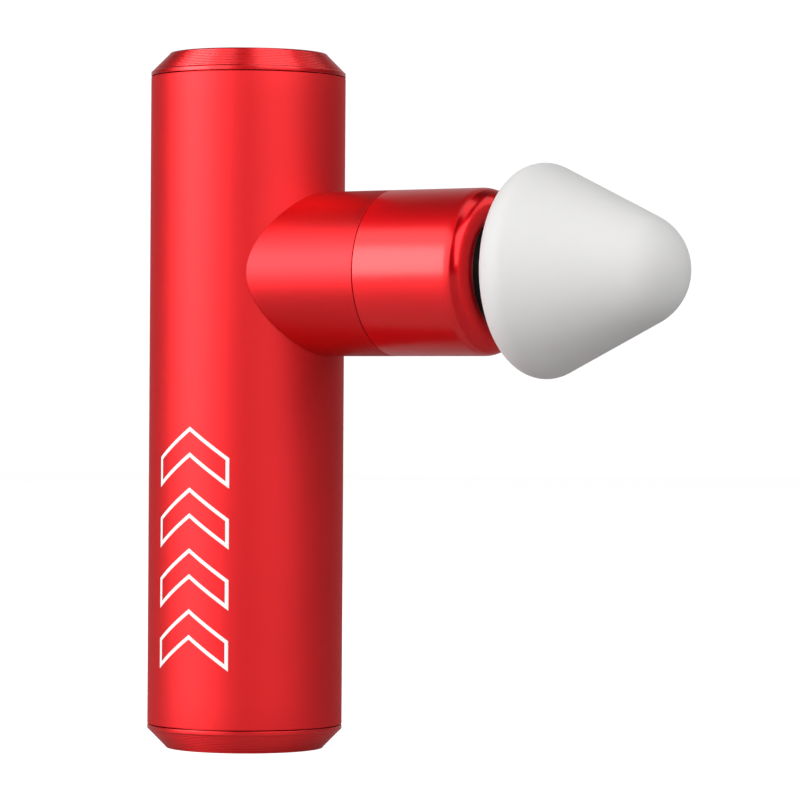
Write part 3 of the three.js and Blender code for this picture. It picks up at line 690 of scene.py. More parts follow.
def turned(
    name: str, outline: Sequence[Point], axis: Axis, closed: bool = False, steps: int = 160
) -> bpy.types.Object:
    """Turns an outline about the handle's or the arm's axis.

    Args:
        name: the piece's name.
        outline: points as distance from the axis and place along it.
        axis: the axis to turn about.
        closed: whether the outline is a ring that joins up.
        steps: how many steps go round.

    Returns:
        The turned piece.
    """

    def place(radius: float, along: float, turn: float) -> Vector:
        """A point of the turned piece.

        Args:
            radius: distance from the axis.
            along: place along the axis.
            turn: turn round the axis.

        Returns:
            The point.
        """
        across, up = radius * math.cos(turn), radius * math.sin(turn)
        if axis is Axis.HANDLE:
            return Vector((across, up, along))
        return Vector((along, across, ARM_Z + up))

    def fill(shape: bmesh.types.BMesh) -> None:
        """Adds the rings and joins each to the next.

        Args:
            shape: the mesh that it is added to.
        """
        rings = []
        for radius, along in outline:
            count = 1 if radius < 1e-7 else steps
            turns = [2 * math.pi * k / count for k in range(count)]
            rings.append([shape.verts.new(place(radius, along, turn)) for turn in turns])
        pairs = list(zip(rings, rings[1:]))
        if closed:
            pairs.append((rings[-1], rings[0]))
        for first, second in pairs:
            join_rings(shape, first, second, steps)

    return piece_from(name, fill)


def join_rings(shape: bmesh.types.BMesh, first: list, second: list, steps: int) -> None:
    """Fills the band between two rings, either of which may be a single point on the axis.

    Args:
        shape: the mesh that it is added to.
        first: the first ring's vertices.
        second: the second ring's vertices.
        steps: how many faces go round.
    """
    if len(first) == 1 and len(second) == 1:
        return
    for k in range(steps):
        corners = [first[k % len(first)], first[(k + 1) % len(first)]]
        corners += [second[(k + 1) % len(second)], second[k % len(second)]]
        shape.faces.new(list(dict.fromkeys(corners)))


def add_prism(shape: bmesh.types.BMesh, outline: Sequence[Point], place: Place, depth: Point) -> None:
    """Adds a solid prism of a flat outline.

    Args:
        shape: the mesh that it is added to.
        outline: the outline's points in its own plane.
        place: turns a point of the plane and a depth into a place.
        depth: the first and last depth.
    """
    ends = [[shape.verts.new(place(u, v, d)) for u, v in outline] for d in depth]
    join_rings(shape, *ends, len(outline))
    for end in ends:
        shape.faces.new(end)


def prism(name: str, outline: Sequence[Point], place: Place, depth: Point) -> bpy.types.Object:
    """A piece that is one prism. Its arguments are those of add_prism."""
    return piece_from(name, lambda shape: add_prism(shape, outline, place, depth))


class Join(Enum):
    """How a piece takes up its tools."""

    CUT = "DIFFERENCE"
    ADD = "UNION"


def apply_modifiers(piece: bpy.types.Object) -> None:
    """Turns a piece's modifiers into its mesh, and marks its sharp edges again.

    Args:
        piece: the piece.
    """
    graph = bpy.context.evaluated_depsgraph_get()
    mesh = bpy.data.meshes.new_from_object(piece.evaluated_get(graph))
    piece.modifiers.clear()
    shape = bmesh.new()
    shape.from_mesh(mesh)
    mark_sharp(shape)
    shape.to_mesh(mesh)
    shape.free()
    piece.data = mesh


def combine(piece: bpy.types.Object, tools: Iterable[bpy.types.Object], join: Join) -> None:
    """Cuts or joins a piece with others, which are used up.

    Args:
        piece: the piece that is changed.
        tools: the other pieces.
        join: whether they are cut away or added.
    """
    used = list(tools)
    for tool in used:
        modifier = piece.modifiers.new("combine", "BOOLEAN")
        modifier.operation = join.value
        modifier.solver = "EXACT"
        modifier.object = tool
    bpy.context.view_layer.update()
    apply_modifiers(piece)
    for tool in used:
        bpy.data.objects.remove(tool)


def add_box(shape: bmesh.types.BMesh, low: Vector, high: Vector) -> None:
    """Adds a closed box between two corners.

    Args:
        shape: the mesh that it is added to.
        low: its lowest corner.
        high: its highest corner.
    """
    spots = [(x, y, z) for x in (low[0], high[0]) for y in (low[1], high[1]) for z in (low[2], high[2])]
    verts = [shape.verts.new(spot) for spot in spots]
    for a, b, c, d in ((0, 1, 3, 2), (4, 6, 7, 5), (0, 4, 5, 1), (2, 3, 7, 6), (0, 2, 6, 4), (1, 5, 7, 3)):
        shape.faces.new([verts[a], verts[b], verts[c], verts[d]])


def block(name: str, low: Sequence[float], high: Sequence[float]) -> bpy.types.Object:
    """A box-shaped blank between two corners, to be finished by a bevel or a cut."""
    return piece_from(name, lambda shape: add_box(shape, low, high))


def add_bevel(piece: bpy.types.Object, width: float, segments: int = 3) -> None:
    """Rounds a piece's sharp edges.

    Args:
        piece: the piece.
        width: how wide the rounding is.
        segments: how many steps it has.
    """
    modifier = piece.modifiers.new("edges", "BEVEL")
    modifier.width = width
    modifier.segments = segments
    modifier.limit_method = "ANGLE"
    modifier.angle_limit = math.radians(40)
    apply_modifiers(piece)


def slot_outline(width: float, height: float, steps: int = 12) -> list[Point]:
    """The outline of a slot with round ends, wide along its first direction.

    Args:
        width: its length from end to end.
        height: its width across.
        steps: how many steps each round end has.

    Returns:
        The outline's points.
    """
    reach = (width - height) / 2
    right = arc((reach, 0), height / 2, -90, 90, steps)
    left = arc((-reach, 0), height / 2, 90, 270, steps)
    return right + left


class Body(Enum):
    """The bodies that pieces ride on."""

    HANDLE = "handle"
    ROTOR = "rotor"
    PLUNGER = "plunger"
    HEAD = "head"
    BUTTON = "button"


def fit(piece: bpy.types.Object, finish: Finish, body: Body, *nodes: str, slot: str = "") -> None:
    """Dresses a piece, makes it ride on its body and hides what it stands for.

    Args:
        piece: the finished mesh, in place.
        finish: what it is finished in.
        body: the body that it moves with.
        nodes: the CAD nodes that it stands for.
        slot: its material slot, where that isn't the finish's own; not used.
    """
    piece.data.materials.clear()
    piece.data.materials.append(finish.material())
    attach(piece, body.value)
    if nodes:
        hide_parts(*nodes)
    LOG.info("%s rides on the %s", piece.name, body.value)


# ---- Handle ----


@dataclass
class Handle:
    """The tube, with its holes for the arm, the port and the lights, and its two end caps."""

    tube: Extent = field(default_factory=lambda: Extent.of("body_tube"))
    wall: float = 1.4 * MM
    edge: float = 0.12 * MM
    land: float = 0.8 * MM
    seam: float = 0.2 * MM
    face_radius: float = 16.1 * MM
    spigot_gap: float = 0.3 * MM
    groove_start: float = 0.35 * MM
    groove_pitch: float = 0.5 * MM
    groove_depth: float = 0.15 * MM
    groove_count: int = 10
    groove_steps: int = 8
    port_clearance: float = 0.7 * MM
    port_depth: float = 4 * MM
    light_hole: float = 1.05 * MM
    light_depth: float = 3 * MM
    cut_start: float = 2 * MM
    ring_gap: float = 0.25 * MM
    ring_seat: float = 3.4 * MM
    ring_step: float = 1.0 * MM
    plate: float = 6.2 * MM
    spigot_length: float = 10.8 * MM
    spigot_bore: float = 16.6 * MM
    neck: float = 14.4 * MM
    neck_reach: Point = (5 * MM, 25 * MM)
    rungs: int = 24

    @property
    def radius(self) -> float:
        """The tube's outer radius."""
        return self.tube.high.x

    def build(self, ring_radius: float) -> None:
        """Makes every piece of the handle.

        Args:
            ring_radius: the radius of the light ring that shows in the top cap.
        """
        self.build_tube()
        self.build_cap("bottom_cap", Extent.of("bottom_cap").low.z, 1, 0.0)
        self.build_cap("top_cap", Extent.of("top_cap").high.z, -1, ring_radius + self.ring_gap)

    def build_tube(self) -> None:
        """The tube with its arm hole, port and light holes."""
        low, high, edge = self.tube.low.z, self.tube.high.z, self.edge
        bore = self.radius - self.wall
        rungs = [low + (high - low) * k / self.rungs for k in range(1, self.rungs)]
        outside = [Corner(self.radius, z) for z in rungs]
        corners = [Corner(bore, low), Corner(self.radius, low, edge), *outside]
        corners += [Corner(self.radius, high, edge), Corner(bore, high)]
        tube = turned("tube", rounded(corners, True), Axis.HANDLE, closed=True)
        near, far = self.neck_reach
        neck = [(0, near), (self.neck, near), (self.neck, far), (0, far)]
        cutters = [turned("neck_hole", neck, Axis.ARM, steps=96), self.port_cutter(), *self.light_cutters()]
        combine(tube, cutters, Join.CUT)
        fit(tube, MATT_RED, Body.HANDLE, "body_tube")

    def port_cutter(self) -> bpy.types.Object:
        """The slot of the charging port through the back wall.

        Returns:
            The cutter.
        """
        port = Extent.of("usb_socket")
        outline = slot_outline(port.size.y + self.port_clearance, port.size.z + self.port_clearance)
        reach = (-self.radius - self.cut_start, -self.radius + self.port_depth)
        return prism("port_hole", outline, lambda u, v, d: (d, u, port.middle.z + v), reach)

    def light_cutters(self) -> list[bpy.types.Object]:
        """The holes for the tips of the charge lights.

        Returns:
            The cutters.
        """
        outline = circle(self.light_hole)
        reach = (-self.radius - self.cut_start, -self.radius + self.light_depth)
        heights = ChargePort().light_places()
        return [prism("light_hole", outline, self.across_back(z), reach) for z in heights]

    @staticmethod
    def across_back(z: float) -> Place:
        """Places an outline of the back wall at a height."""
        return lambda u, v, d: (d, u, z + v)

    def chamfer(self) -> list[Point]:
        """The cap's sloping rim from the end face to the land, with its turned grooves.

        Returns:
            Points as distance from the axis and depth from the end face.
        """
        seam = self.seam_depth()
        inner = Vector((self.face_radius, 0.0))
        outer = Vector((self.radius, seam - self.land))
        along = (outer - inner).normalized()
        inward = Vector((-along.y, along.x))
        points = [tuple(inner)]
        for k in range(self.groove_count * self.groove_steps + 1):
            turns = k / self.groove_steps
            dip = self.groove_depth * abs(math.sin(math.pi * turns))
            spot = inner + along * (self.groove_start + turns * self.groove_pitch) + inward * dip
            points.append(tuple(spot))
        return points

    def seam_depth(self) -> float:
        """How far the seam with the tube is from the end face."""
        return self.tube.low.z - Extent.of("bottom_cap").low.z - self.seam

    def build_cap(self, node: str, face: float, inward: int, opening: float) -> None:
        """One end cap.

        Args:
            node: the CAD node that it stands for.
            face: the height of its end face.
            inward: 1 where the cap's depth runs up, -1 where it runs down.
            opening: the radius of its middle hole, or 0.
        """
        seam = self.seam_depth()
        spigot = self.radius - self.wall - self.spigot_gap
        rim = self.chamfer()
        tail = [
            Corner(*rim[-1]),
            Corner(self.radius, seam - self.land, EASED),
            Corner(self.radius, seam, self.edge),
            Corner(spigot, seam),
            Corner(spigot, self.spigot_length),
            Corner(self.spigot_bore, self.spigot_length),
            Corner(self.spigot_bore, self.plate),
        ]
        wide = opening + self.ring_step
        seat = [(wide, self.plate), (wide, self.ring_seat), (opening, self.ring_seat)]
        seat += [(opening, self.edge), (opening + self.edge, 0.0)]
        start, end = ([], seat) if opening else ([(0.0, 0.0)], [(0.0, self.plate)])
        outline = [*start, *rim, *rounded(tail, False)[1:], *end]
        outline = [(r, face + inward * depth) for r, depth in outline]
        cap = turned(node.replace("cap", "end_cap"), outline, Axis.HANDLE, closed=True)
        fit(cap, TURNED_RED, Body.HANDLE, node)


@dataclass
class Marks:
    """A column of outlined chevrons printed on the side of the handle."""

    count: int = 4
    low: float = 17.5 * MM
    high: float = 65.5 * MM
    width: float = 16.6 * MM
    rise: float = 6.0 * MM
    band: float = 5.2 * MM
    stroke: float = 0.75 * MM
    facing: float = -90.0
    proud: float = 0.02 * MM
    film: float = 0.02 * MM
    step: float = 0.5 * MM

    def chevron(self, base: float) -> list[Vector]:
        """The middle line of one chevron's outline.

        Args:
            base: the height of its lowest corners.

        Returns:
            Its six corners as distance round the tube and height.
        """
        half = self.width / 2
        corners = [(-half, 0), (0, self.rise), (half, 0), (half, self.band), (0, self.rise + self.band)]
        corners.append((-half, self.band))
        return [Vector((u, base + v)) for u, v in corners]

    def build(self, radius: float) -> None:
        """Prints the chevrons.

        Args:
            radius: the tube's radius.
        """
        tall = self.rise + self.band
        pitch = (self.high - self.low - tall) / (self.count - 1)

        def fill(shape: bmesh.types.BMesh) -> None:
            """Adds every chevron's ribbon."""
            for k in range(self.count):
                self.ribbon(shape, self.chevron(self.low + k * pitch), radius)

        marks = piece_from("chevron_marks", fill)
        fit(marks, WHITE_INK, Body.HANDLE)

    def ribbon(self, shape: bmesh.types.BMesh, corners: list[Vector], radius: float) -> None:
        """A thin closed ribbon with mitred corners, wrapped round the tube.

        Args:
            shape: the mesh that it is added to.
            corners: the ribbon's middle line.
            radius: the tube's radius.
        """
        count = len(corners)
        edges = []
        for i, corner in enumerate(corners):
            into = (corner - corners[i - 1]).normalized()
            out = (corners[(i + 1) % count] - corner).normalized()
            normal = (Vector((-into.y, into.x)) + Vector((-out.y, out.x))).normalized()
            reach = self.stroke / 2 / max(0.3, normal.dot(Vector((-into.y, into.x))))
            edges.append((corner + normal * reach, corner - normal * reach))
        sections = []
        for i in range(count):
            left, right = edges[i], edges[(i + 1) % count]
            length = (right[0] - left[0]).length
            steps = max(1, round(length / self.step))
            for k in range(steps):
                pair = [left[s].lerp(right[s], k / steps) for s in (0, 1)]
                sections.append(self.wrapped(shape, pair, radius))
        for section, following in zip(sections, sections[1:] + sections[:1]):
            join_rings(shape, section, following, 4)

    def wrapped(self, shape: bmesh.types.BMesh, pair: list[Vector], radius: float) -> list:
        """The four corners of the ribbon's section on the tube.

        Args:
            shape: the mesh that it is added to.
            pair: the ribbon's two edges, as distance round the tube and height.
            radius: the tube's radius.

        Returns:
            The section's four vertices.
        """
        corners = []
        inner, outer = radius + self.proud, radius + self.proud + self.film
        for flat, distance in ((pair[0], inner), (pair[1], inner), (pair[1], outer), (pair[0], outer)):
            turn = math.radians(self.facing) + flat.x / radius
            place = (distance * math.cos(turn), distance * math.sin(turn), flat.y)
            corners.append(shape.verts.new(place))
        return corners


@dataclass
class ChargePort:
    """The charging socket in the back of the handle, and the lights above it."""

    shell: float = 0.3 * MM
    shell_back: float = 0.6 * MM
    shell_edge: float = 0.08 * MM
    tongue_edge: float = 0.12 * MM
    overcut: float = 1 * MM
    contact_count: int = 12
    contact_pitch: float = 0.5 * MM
    contact: tuple[float, float, float] = (2.6 * MM, 0.26 * MM, 0.03 * MM)
    contact_inset: float = 0.4 * MM
    contact_levels: Point = (0.02 * MM, 0.01 * MM)
    light_count: int = 4
    light_margin: float = 2 * MM
    bar: float = 1.2 * MM
    tip: float = 0.75 * MM
    tip_root: float = 0.4 * MM

    def light_places(self) -> list[float]:
        """The heights of the charge lights.

        Returns:
            The heights, from the lowest up.
        """
        pipe = Extent.of("charge_light_pipe")
        low, high = pipe.low.z + self.light_margin, pipe.high.z - self.light_margin
        return [low + (high - low) * k / (self.light_count - 1) for k in range(self.light_count)]

    def build(self) -> None:
        """Makes the socket, its tongue with contacts, and the light guide."""
        self.build_socket()
        self.build_tongue()
        self.build_lights()

    def build_socket(self) -> None:
        """The drawn steel shell with a rolled mouth."""
        port = Extent.of("usb_socket")
        z = port.middle.z
        width, height = port.size.y, port.size.z
        back = port.high.x
        place = Handle.across_back(z)
        shell = prism("socket_shell", slot_outline(width, height), place, (port.low.x, back))
        inner = slot_outline(width - 2 * self.shell, height - 2 * self.shell)
        hollow = prism("socket_hollow", inner, place, (port.low.x - self.overcut, back - self.shell_back))
        combine(shell, [hollow], Join.CUT)
        add_bevel(shell, self.shell_edge)
        fit(shell, BRIGHT_STEEL, Body.HANDLE, "usb_socket")

    def build_tongue(self) -> None:
        """The tongue, with a row of contacts on each face."""
        box = Extent.of("usb_tongue")
        tongue = block("socket_tongue", box.low, box.high)
        add_bevel(tongue, self.tongue_edge)
        fit(tongue, BLACK_PLASTIC, Body.HANDLE, "usb_tongue")

        def fill(shape: bmesh.types.BMesh) -> None:
            """Adds the contacts as thin strips.

            Args:
                shape: the mesh that it is added to.
            """
            start = -(self.contact_count - 1) / 2 * self.contact_pitch - self.contact[1] / 2
            under, over = self.contact_levels
            for k in range(self.contact_count):
                y = start + k * self.contact_pitch
                for z in (box.low.z - under, box.high.z - over):
                    low = Vector((box.low.x + self.contact_inset, y, z))
                    add_box(shape, low, low + Vector(self.contact))

        contacts = piece_from("socket_contacts", fill)
        fit(contacts, BRONZE, Body.HANDLE)

    def build_lights(self) -> None:
        """Four domed tips on one bar."""
        pipe = Extent.of("charge_light_pipe")
        bar_front = pipe.high.x - self.bar
        reach = (pipe.low.x, bar_front + self.tip_root)
        bar = block("light_guide", (bar_front, pipe.low.y, pipe.low.z), pipe.high)
        tips = []
        for z in self.light_places():
            tips.append(prism("light_tip", circle(self.tip), Handle.across_back(z), reach))
        combine(bar, tips, Join.ADD)
        add_bevel(bar, FINE)
        fit(bar, FROSTED_PLASTIC, Body.HANDLE, "charge_light_pipe")


# ---- Power button ----


@dataclass
class PowerButton:
    """The round button in the top cap, with its mark and the light ring about it."""

    radius: float = 6.75 * MM
    flange: float = 8.8 * MM
    flange_depth: Point = (4.85 * MM, 6.15 * MM)
    post: float = 1.8 * MM
    bevel: float = 0.8 * MM
    dish_edge: float = 1.4 * MM
    dish: float = 0.25 * MM
    edge: float = 0.35 * MM
    dish_rounding: float = 1.2 * MM
    mark_radius: float = 2.3 * MM
    mark_stroke: float = 0.4 * MM
    mark_gap: Point = (125, 415)
    mark_bar: Point = (1.1 * MM, 3.2 * MM)
    mark_depth: Point = (0.01 * MM, 0.03 * MM)
    ring_inner: float = 7.05 * MM
    ring_outer: float = 8.05 * MM
    ring_foot: float = 1.0 * MM

    def build(self) -> None:
        """Makes the button, the power mark and the light ring."""
        button = Extent.of("power_button")
        bottom, top = button.low.z, button.high.z
        shelf, underside = (top - depth for depth in self.flange_depth)
        corners = [
            Corner(0, bottom),
            Corner(self.post, bottom, EASED),
            Corner(self.post, underside),
            Corner(self.flange, underside, EASED),
            Corner(self.flange, shelf, EASED),
            Corner(self.radius, shelf),
            Corner(self.radius, top, self.edge),
            Corner(self.radius - self.bevel, top, SOFT),
            Corner(self.radius - self.dish_edge, top - self.dish, self.dish_rounding),
            Corner(0, top - self.dish),
        ]
        cap = turned("button_cap", rounded(corners, False), Axis.HANDLE)
        fit(cap, TURNED_RED, Body.BUTTON, "power_button")
        self.build_mark(top - self.dish)
        self.build_ring()

    def build_mark(self, height: float) -> None:
        """An open ring with a bar in its gap, printed on the button.

        Args:
            height: the height of the button's dished face.
        """
        half = self.mark_stroke / 2
        start, end = self.mark_gap
        outer = arc((0, 0), self.mark_radius + half, start, end, 48)
        inner = arc((0, 0), self.mark_radius - half, end, start, 48)
        low, high = (height + depth for depth in self.mark_depth)

        def fill(shape: bmesh.types.BMesh) -> None:
            """Adds the open ring and the bar.

            Args:
                shape: the mesh that it is added to.
            """
            count = len(outer)
            levels = [[shape.verts.new((u, v, z)) for u, v in outer + inner] for z in (low, high)]
            for ring in levels:
                for k in range(count - 1):
                    far = 2 * count - 1 - k
                    shape.faces.new([ring[k], ring[k + 1], ring[far - 1], ring[far]])
            join_rings(shape, *levels, 2 * count)
            foot, tip = self.mark_bar
            add_box(shape, Vector((-half, foot, low)), Vector((half, tip, high)))

        fit(piece_from("power_mark", fill), WHITE_INK, Body.BUTTON)

    def build_ring(self) -> None:
        """The frosted ring that carries the light."""
        ring = Extent.of("light_ring")
        foot, step = ring.size.x / 2, ring.low.z + self.ring_foot
        corners = [
            Corner(self.ring_inner, ring.low.z),
            Corner(foot, ring.low.z),
            Corner(foot, step),
            Corner(self.ring_outer, step),
            Corner(self.ring_outer, ring.high.z, FINE),
            Corner(self.ring_inner, ring.high.z, FINE),
        ]
        piece = turned("light_collar", rounded(corners, True), Axis.HANDLE, closed=True)
        fit(piece, FROSTED_PLASTIC, Body.HANDLE, "light_ring")


# ---- Arm ----


@dataclass
class Arm:
    """The collar on the tube, the front sleeve and what shows in its mouth."""

    collar: Extent = field(default_factory=lambda: Extent.of("arm_collar"))
    sleeve: Extent = field(default_factory=lambda: Extent.of("arm_sleeve"))
    bore: float = 15.3 * MM
    edge: float = 0.12 * MM
    lip: float = 4.4 * MM
    mouth: float = 11.6 * MM
    cut_angle: float = 24.0
    seam_overlap: float = 0.1 * MM
    seam_edge: float = 0.06 * MM
    step: float = 4.3 * MM
    lap: float = 1 * MM
    saddle_gap: float = 0.15 * MM
    saddle_half: float = 30 * MM
    saddle_start: float = 6 * MM
    rungs: int = 10
    seal_lip: float = 6.8 * MM
    seal_rim: float = 1.1 * MM
    seal_fold: float = 2.4 * MM
    seal_wave: float = 0.9 * MM
    seal_gap: float = 0.3 * MM
    folds: tuple[float, ...] = (1.0 * MM, 1.5 * MM, 2.3 * MM, 2.8 * MM)
    seal_taper: Point = (1.4 * MM, 0.6 * MM)
    ring_bore: float = 13.9 * MM
    thread_turns: int = 10
    thread_pitch: float = 1.0 * MM
    thread_depth: float = 0.35 * MM

    @property
    def radius(self) -> float:
        """The arm's outer radius."""
        return self.sleeve.size.z / 2

    def build(self, tube_radius: float) -> None:
        """Makes the arm.

        Args:
            tube_radius: the radius of the handle that the collar sits on.
        """
        self.build_collar(tube_radius)
        self.build_sleeve()
        self.build_seal()
        self.build_joint_ring()

    def build_collar(self, tube_radius: float) -> None:
        """The collar, cut to the round of the tube.

        Args:
            tube_radius: the radius of the handle that the collar sits on.
        """
        start, end = self.saddle_start, self.collar.high.x
        rungs = [start + (end - start) * k / self.rungs for k in range(self.rungs)]
        corners = [
            Corner(self.bore, start),
            *[Corner(self.radius, x) for x in rungs],
            Corner(self.radius, end, self.seam_edge),
            Corner(self.bore, end),
        ]
        collar = turned("saddle_collar", rounded(corners, True), Axis.ARM, closed=True, steps=192)
        reach = tube_radius + self.saddle_gap
        low, high = ARM_Z - self.saddle_half, ARM_Z + self.saddle_half
        outline = [(0, low), (reach, low), (reach, high), (0, high)]
        combine(collar, [turned("saddle", outline, Axis.HANDLE, steps=256)], Join.CUT)
        fit(collar, SATIN_RED, Body.HANDLE, "arm_collar")

    def build_sleeve(self) -> None:
        """The polished sleeve, and its rolled front lip with a brighter cut."""
        start, front = self.sleeve.low.x - self.seam_overlap, self.sleeve.high.x
        step = front - self.step
        centre = (self.radius - self.lip, front - self.lip)
        shoulder = arc(centre, self.lip, 0, self.cut_angle, 8)
        face = arc(centre, self.lip, self.cut_angle, 90, 16)
        joint = shoulder[-1][1] - self.edge
        rear = [Corner(self.bore, start), Corner(self.radius, start, self.seam_edge), Corner(*shoulder[0])]
        barrel = rounded(rear, False) + shoulder[1:] + [(self.mouth + self.lap, joint), (self.bore, joint)]
        front_edge = [Corner(*face[-1]), Corner(self.mouth, front, FULL), Corner(self.mouth, step)]
        lip = face[:-1] + rounded(front_edge, False) + [(self.mouth + self.lap, joint)]
        sleeve = turned("front_sleeve", barrel, Axis.ARM, closed=True, steps=192)
        fit(sleeve, POLISHED_RED, Body.HANDLE, "arm_sleeve")
        roll = turned("sleeve_lip", lip, Axis.ARM, closed=True, steps=192)
        fit(roll, BRIGHT_CUT_RED, Body.HANDLE, "arm_sleeve")

    def build_seal(self) -> None:
        """The dust seal: a clamped rim, two folds and a wiping lip."""
        seal = Extent.of("front_dust_seal")
        rear, front = seal.low.x, seal.high.x
        rim, lip = seal.size.z / 2, self.seal_lip
        hinge = self.mouth - self.seal_gap
        back = rear + self.seal_rim
        fold = rear + self.seal_fold
        wave = fold - self.seal_wave
        crest, down, up, last = (hinge - place for place in self.folds)
        root, tip = (lip + width for width in self.seal_taper)
        corners = [
            Corner(rim, rear),
            Corner(rim, back, BROKEN),
            Corner(hinge, back),
            Corner(hinge, fold, SOFT),
            Corner(crest, fold, MILD),
            Corner(down, wave, SOFT),
            Corner(up, wave, SOFT),
            Corner(last, fold, SOFT),
            Corner(root, fold, MILD),
            Corner(tip, front, EASED),
            Corner(lip, front, EASED),
            Corner(lip, rear),
        ]
        piece = turned("wiper_seal", rounded(corners, True), Axis.ARM, closed=True)
        fit(piece, BLACK_RUBBER, Body.HANDLE, "front_dust_seal")

    def build_joint_ring(self) -> None:
        """The threaded ring behind the seam between collar and sleeve."""
        ring = Extent.of("joint_ring")
        outer, inner = ring.size.z / 2, self.ring_bore
        root = outer - self.thread_depth
        corners = [Corner(inner, ring.low.x), Corner(root, ring.low.x)]
        for k in range(self.thread_turns):
            at = ring.low.x + (k + 0.5) * self.thread_pitch
            corners += [Corner(outer, at), Corner(root, at + self.thread_pitch / 2)]
        corners += [Corner(root, ring.high.x), Corner(inner, ring.high.x)]
        piece = turned("thread_ring", rounded(corners, True), Axis.ARM, closed=True, steps=96)
        fit(piece, DARK_STEEL, Body.HANDLE, "joint_ring")


@dataclass
class Plunger:
    """The rod that the head plugs into."""

    socket: float = 4.9 * MM
    bore: float = 3.5 * MM
    end_wall: float = 4.0 * MM
    stem_room: float = 1.5 * MM
    edge: float = 0.5 * MM

    def build(self) -> None:
        """The rod, bored for the head's stem."""
        rod = Extent.of("plunger_rod")
        radius = rod.size.z / 2
        rear, front = rod.low.x, rod.high.x
        throat = Extent.of("head_core").low.x - self.stem_room
        corners = [
            Corner(0, rear),
            Corner(radius, rear, self.edge),
            Corner(radius, front, self.edge),
            Corner(self.socket, front, SOFT),
            Corner(self.socket, throat),
            Corner(self.bore, throat),
            Corner(self.bore, rear + self.end_wall),
            Corner(0, rear + self.end_wall),
        ]
        piece = turned("bored_rod", rounded(corners, False), Axis.ARM, steps=96)
        fit(piece, ALUMINIUM, Body.PLUNGER, "plunger_rod")


# ---- Head ----


@dataclass
class Head:
    """The removable head: a silicone skin on a moulded core with a ringed stem."""

    skin: Extent = field(default_factory=lambda: Extent.of("massage_head"))
    core: Extent = field(default_factory=lambda: Extent.of("head_core"))
    rim_ring: float = 16.48 * MM
    rim_radius: float = 4.76 * MM
    nose_radius: float = 11.69 * MM
    thickness: float = 3 * MM
    opening: float = 9 * MM
    stem: float = 4.6 * MM
    gap: float = 0.3 * MM
    sunk: float = 0.2 * MM
    groove: Point = (0.65 * MM, 1.0 * MM)
    groove_edge: float = 0.08 * MM
    trough: Point = (6.4 * MM, 8.1 * MM)
    trough_depth: float = 0.4 * MM
    trough_slope: Point = (0.2 * MM, 0.1 * MM)
    cord: float = 0.5 * MM
    cord_seat: float = 0.05 * MM

    def outline(self, inset: float) -> list[Point]:
        """The head's outside, set in by a distance.

        Args:
            inset: how far it is set in.

        Returns:
            Points from the rear rim round to the nose.
        """
        rim_x = self.skin.low.x + self.rim_radius
        nose_x = self.skin.high.x - self.nose_radius
        along = nose_x - rim_x
        between = math.hypot(along, self.rim_ring)
        fall = math.acos((self.rim_radius - self.nose_radius) / between)
        slope = 90 - math.degrees(fall - math.atan2(self.rim_ring, along))
        rim = arc((self.rim_ring, rim_x), self.rim_radius - inset, -90, slope, 18)
        nose = arc((0, nose_x), self.nose_radius - inset, slope, 90, 20)
        cone = [tuple(Vector(rim[-1]).lerp(Vector(nose[0]), k / 6)) for k in range(1, 6)]
        return [*rim, *cone, *nose[:-1], (0.0, nose[-1][1])]

    def build(self) -> None:
        """Makes the skin, the core and the stem's rings."""
        self.build_skin()
        self.build_core()
        self.build_rings()

    def build_skin(self) -> None:
        """The soft skin, thick all round, open behind where the core shows."""
        back = self.skin.low.x
        mouth = [
            Corner(self.rim_ring, back + self.thickness),
            Corner(self.opening, back + self.thickness),
            Corner(self.opening, back, FULL),
            Corner(self.rim_ring, back),
        ]
        inner = list(reversed(self.outline(self.thickness)))
        outline = [*inner, *rounded(mouth, False)[1:-1], *self.outline(0.0)]
        skin = turned("silicone_head", outline, Axis.ARM, steps=192)
        fit(skin, WHITE_SILICONE, Body.HEAD, "massage_head")

    def build_core(self) -> None:
        """The core: a ringed stem, a ribbed rear disc and the shell that carries the skin."""
        start = self.core.low.x
        back = self.skin.low.x + self.sunk
        floor = back + self.trough_depth
        plug = self.opening - self.gap
        inside = self.skin.low.x + self.thickness + self.gap
        half, depth = self.groove
        grooves = []
        for ring in self.ring_places():
            section = ((-half, 0), (-half, depth), (half, depth), (half, 0))
            grooves += [Corner(self.stem - cut, ring + along, self.groove_edge) for along, cut in section]
        inner, outer = self.trough
        gentle, steep = self.trough_slope
        corners = [
            Corner(0, start),
            Corner(self.stem, start, WIDE),
            *grooves,
            Corner(self.stem, back, SOFT),
            Corner(inner - gentle, back, EASED),
            Corner(inner + gentle, floor, BROKEN),
            Corner(outer - steep, floor, BROKEN),
            Corner(outer + steep, back, BROKEN),
            Corner(plug, back, EASED),
            Corner(plug, inside),
        ]
        outline = rounded([*corners, Corner(self.rim_ring, inside)], False)[:-1]
        outline += self.outline(self.thickness + self.gap)
        core = turned("head_carrier", outline, Axis.ARM, steps=96)
        fit(core, GREY_PLASTIC, Body.HEAD, "head_core")

    @staticmethod
    def ring_places() -> list[float]:
        """Where the stem's rings are along the arm."""
        return [Extent.of(node).middle.x for node in ("stem_ring_rear", "stem_ring_front")]

    def build_rings(self) -> None:
        """The two rubber rings that hold the stem in its socket."""
        middle = self.stem - self.groove[1] + self.cord_seat + self.cord
        for node, x in zip(("stem_ring_rear", "stem_ring_front"), self.ring_places()):
            outline = circle(self.cord, (middle, x))
            ring = turned(node.replace("stem", "grip"), outline, Axis.ARM, closed=True, steps=72)
            fit(ring, BLACK_RUBBER, Body.HEAD, node)


def shifted(piece: bpy.types.Object, place: Vector) -> bpy.types.Object:
    """Moves a piece's mesh sideways from the handle's axis."""
    piece.data.transform(Matrix.Translation((place.x, place.y, 0)))
    return piece


# ---- Motor ----


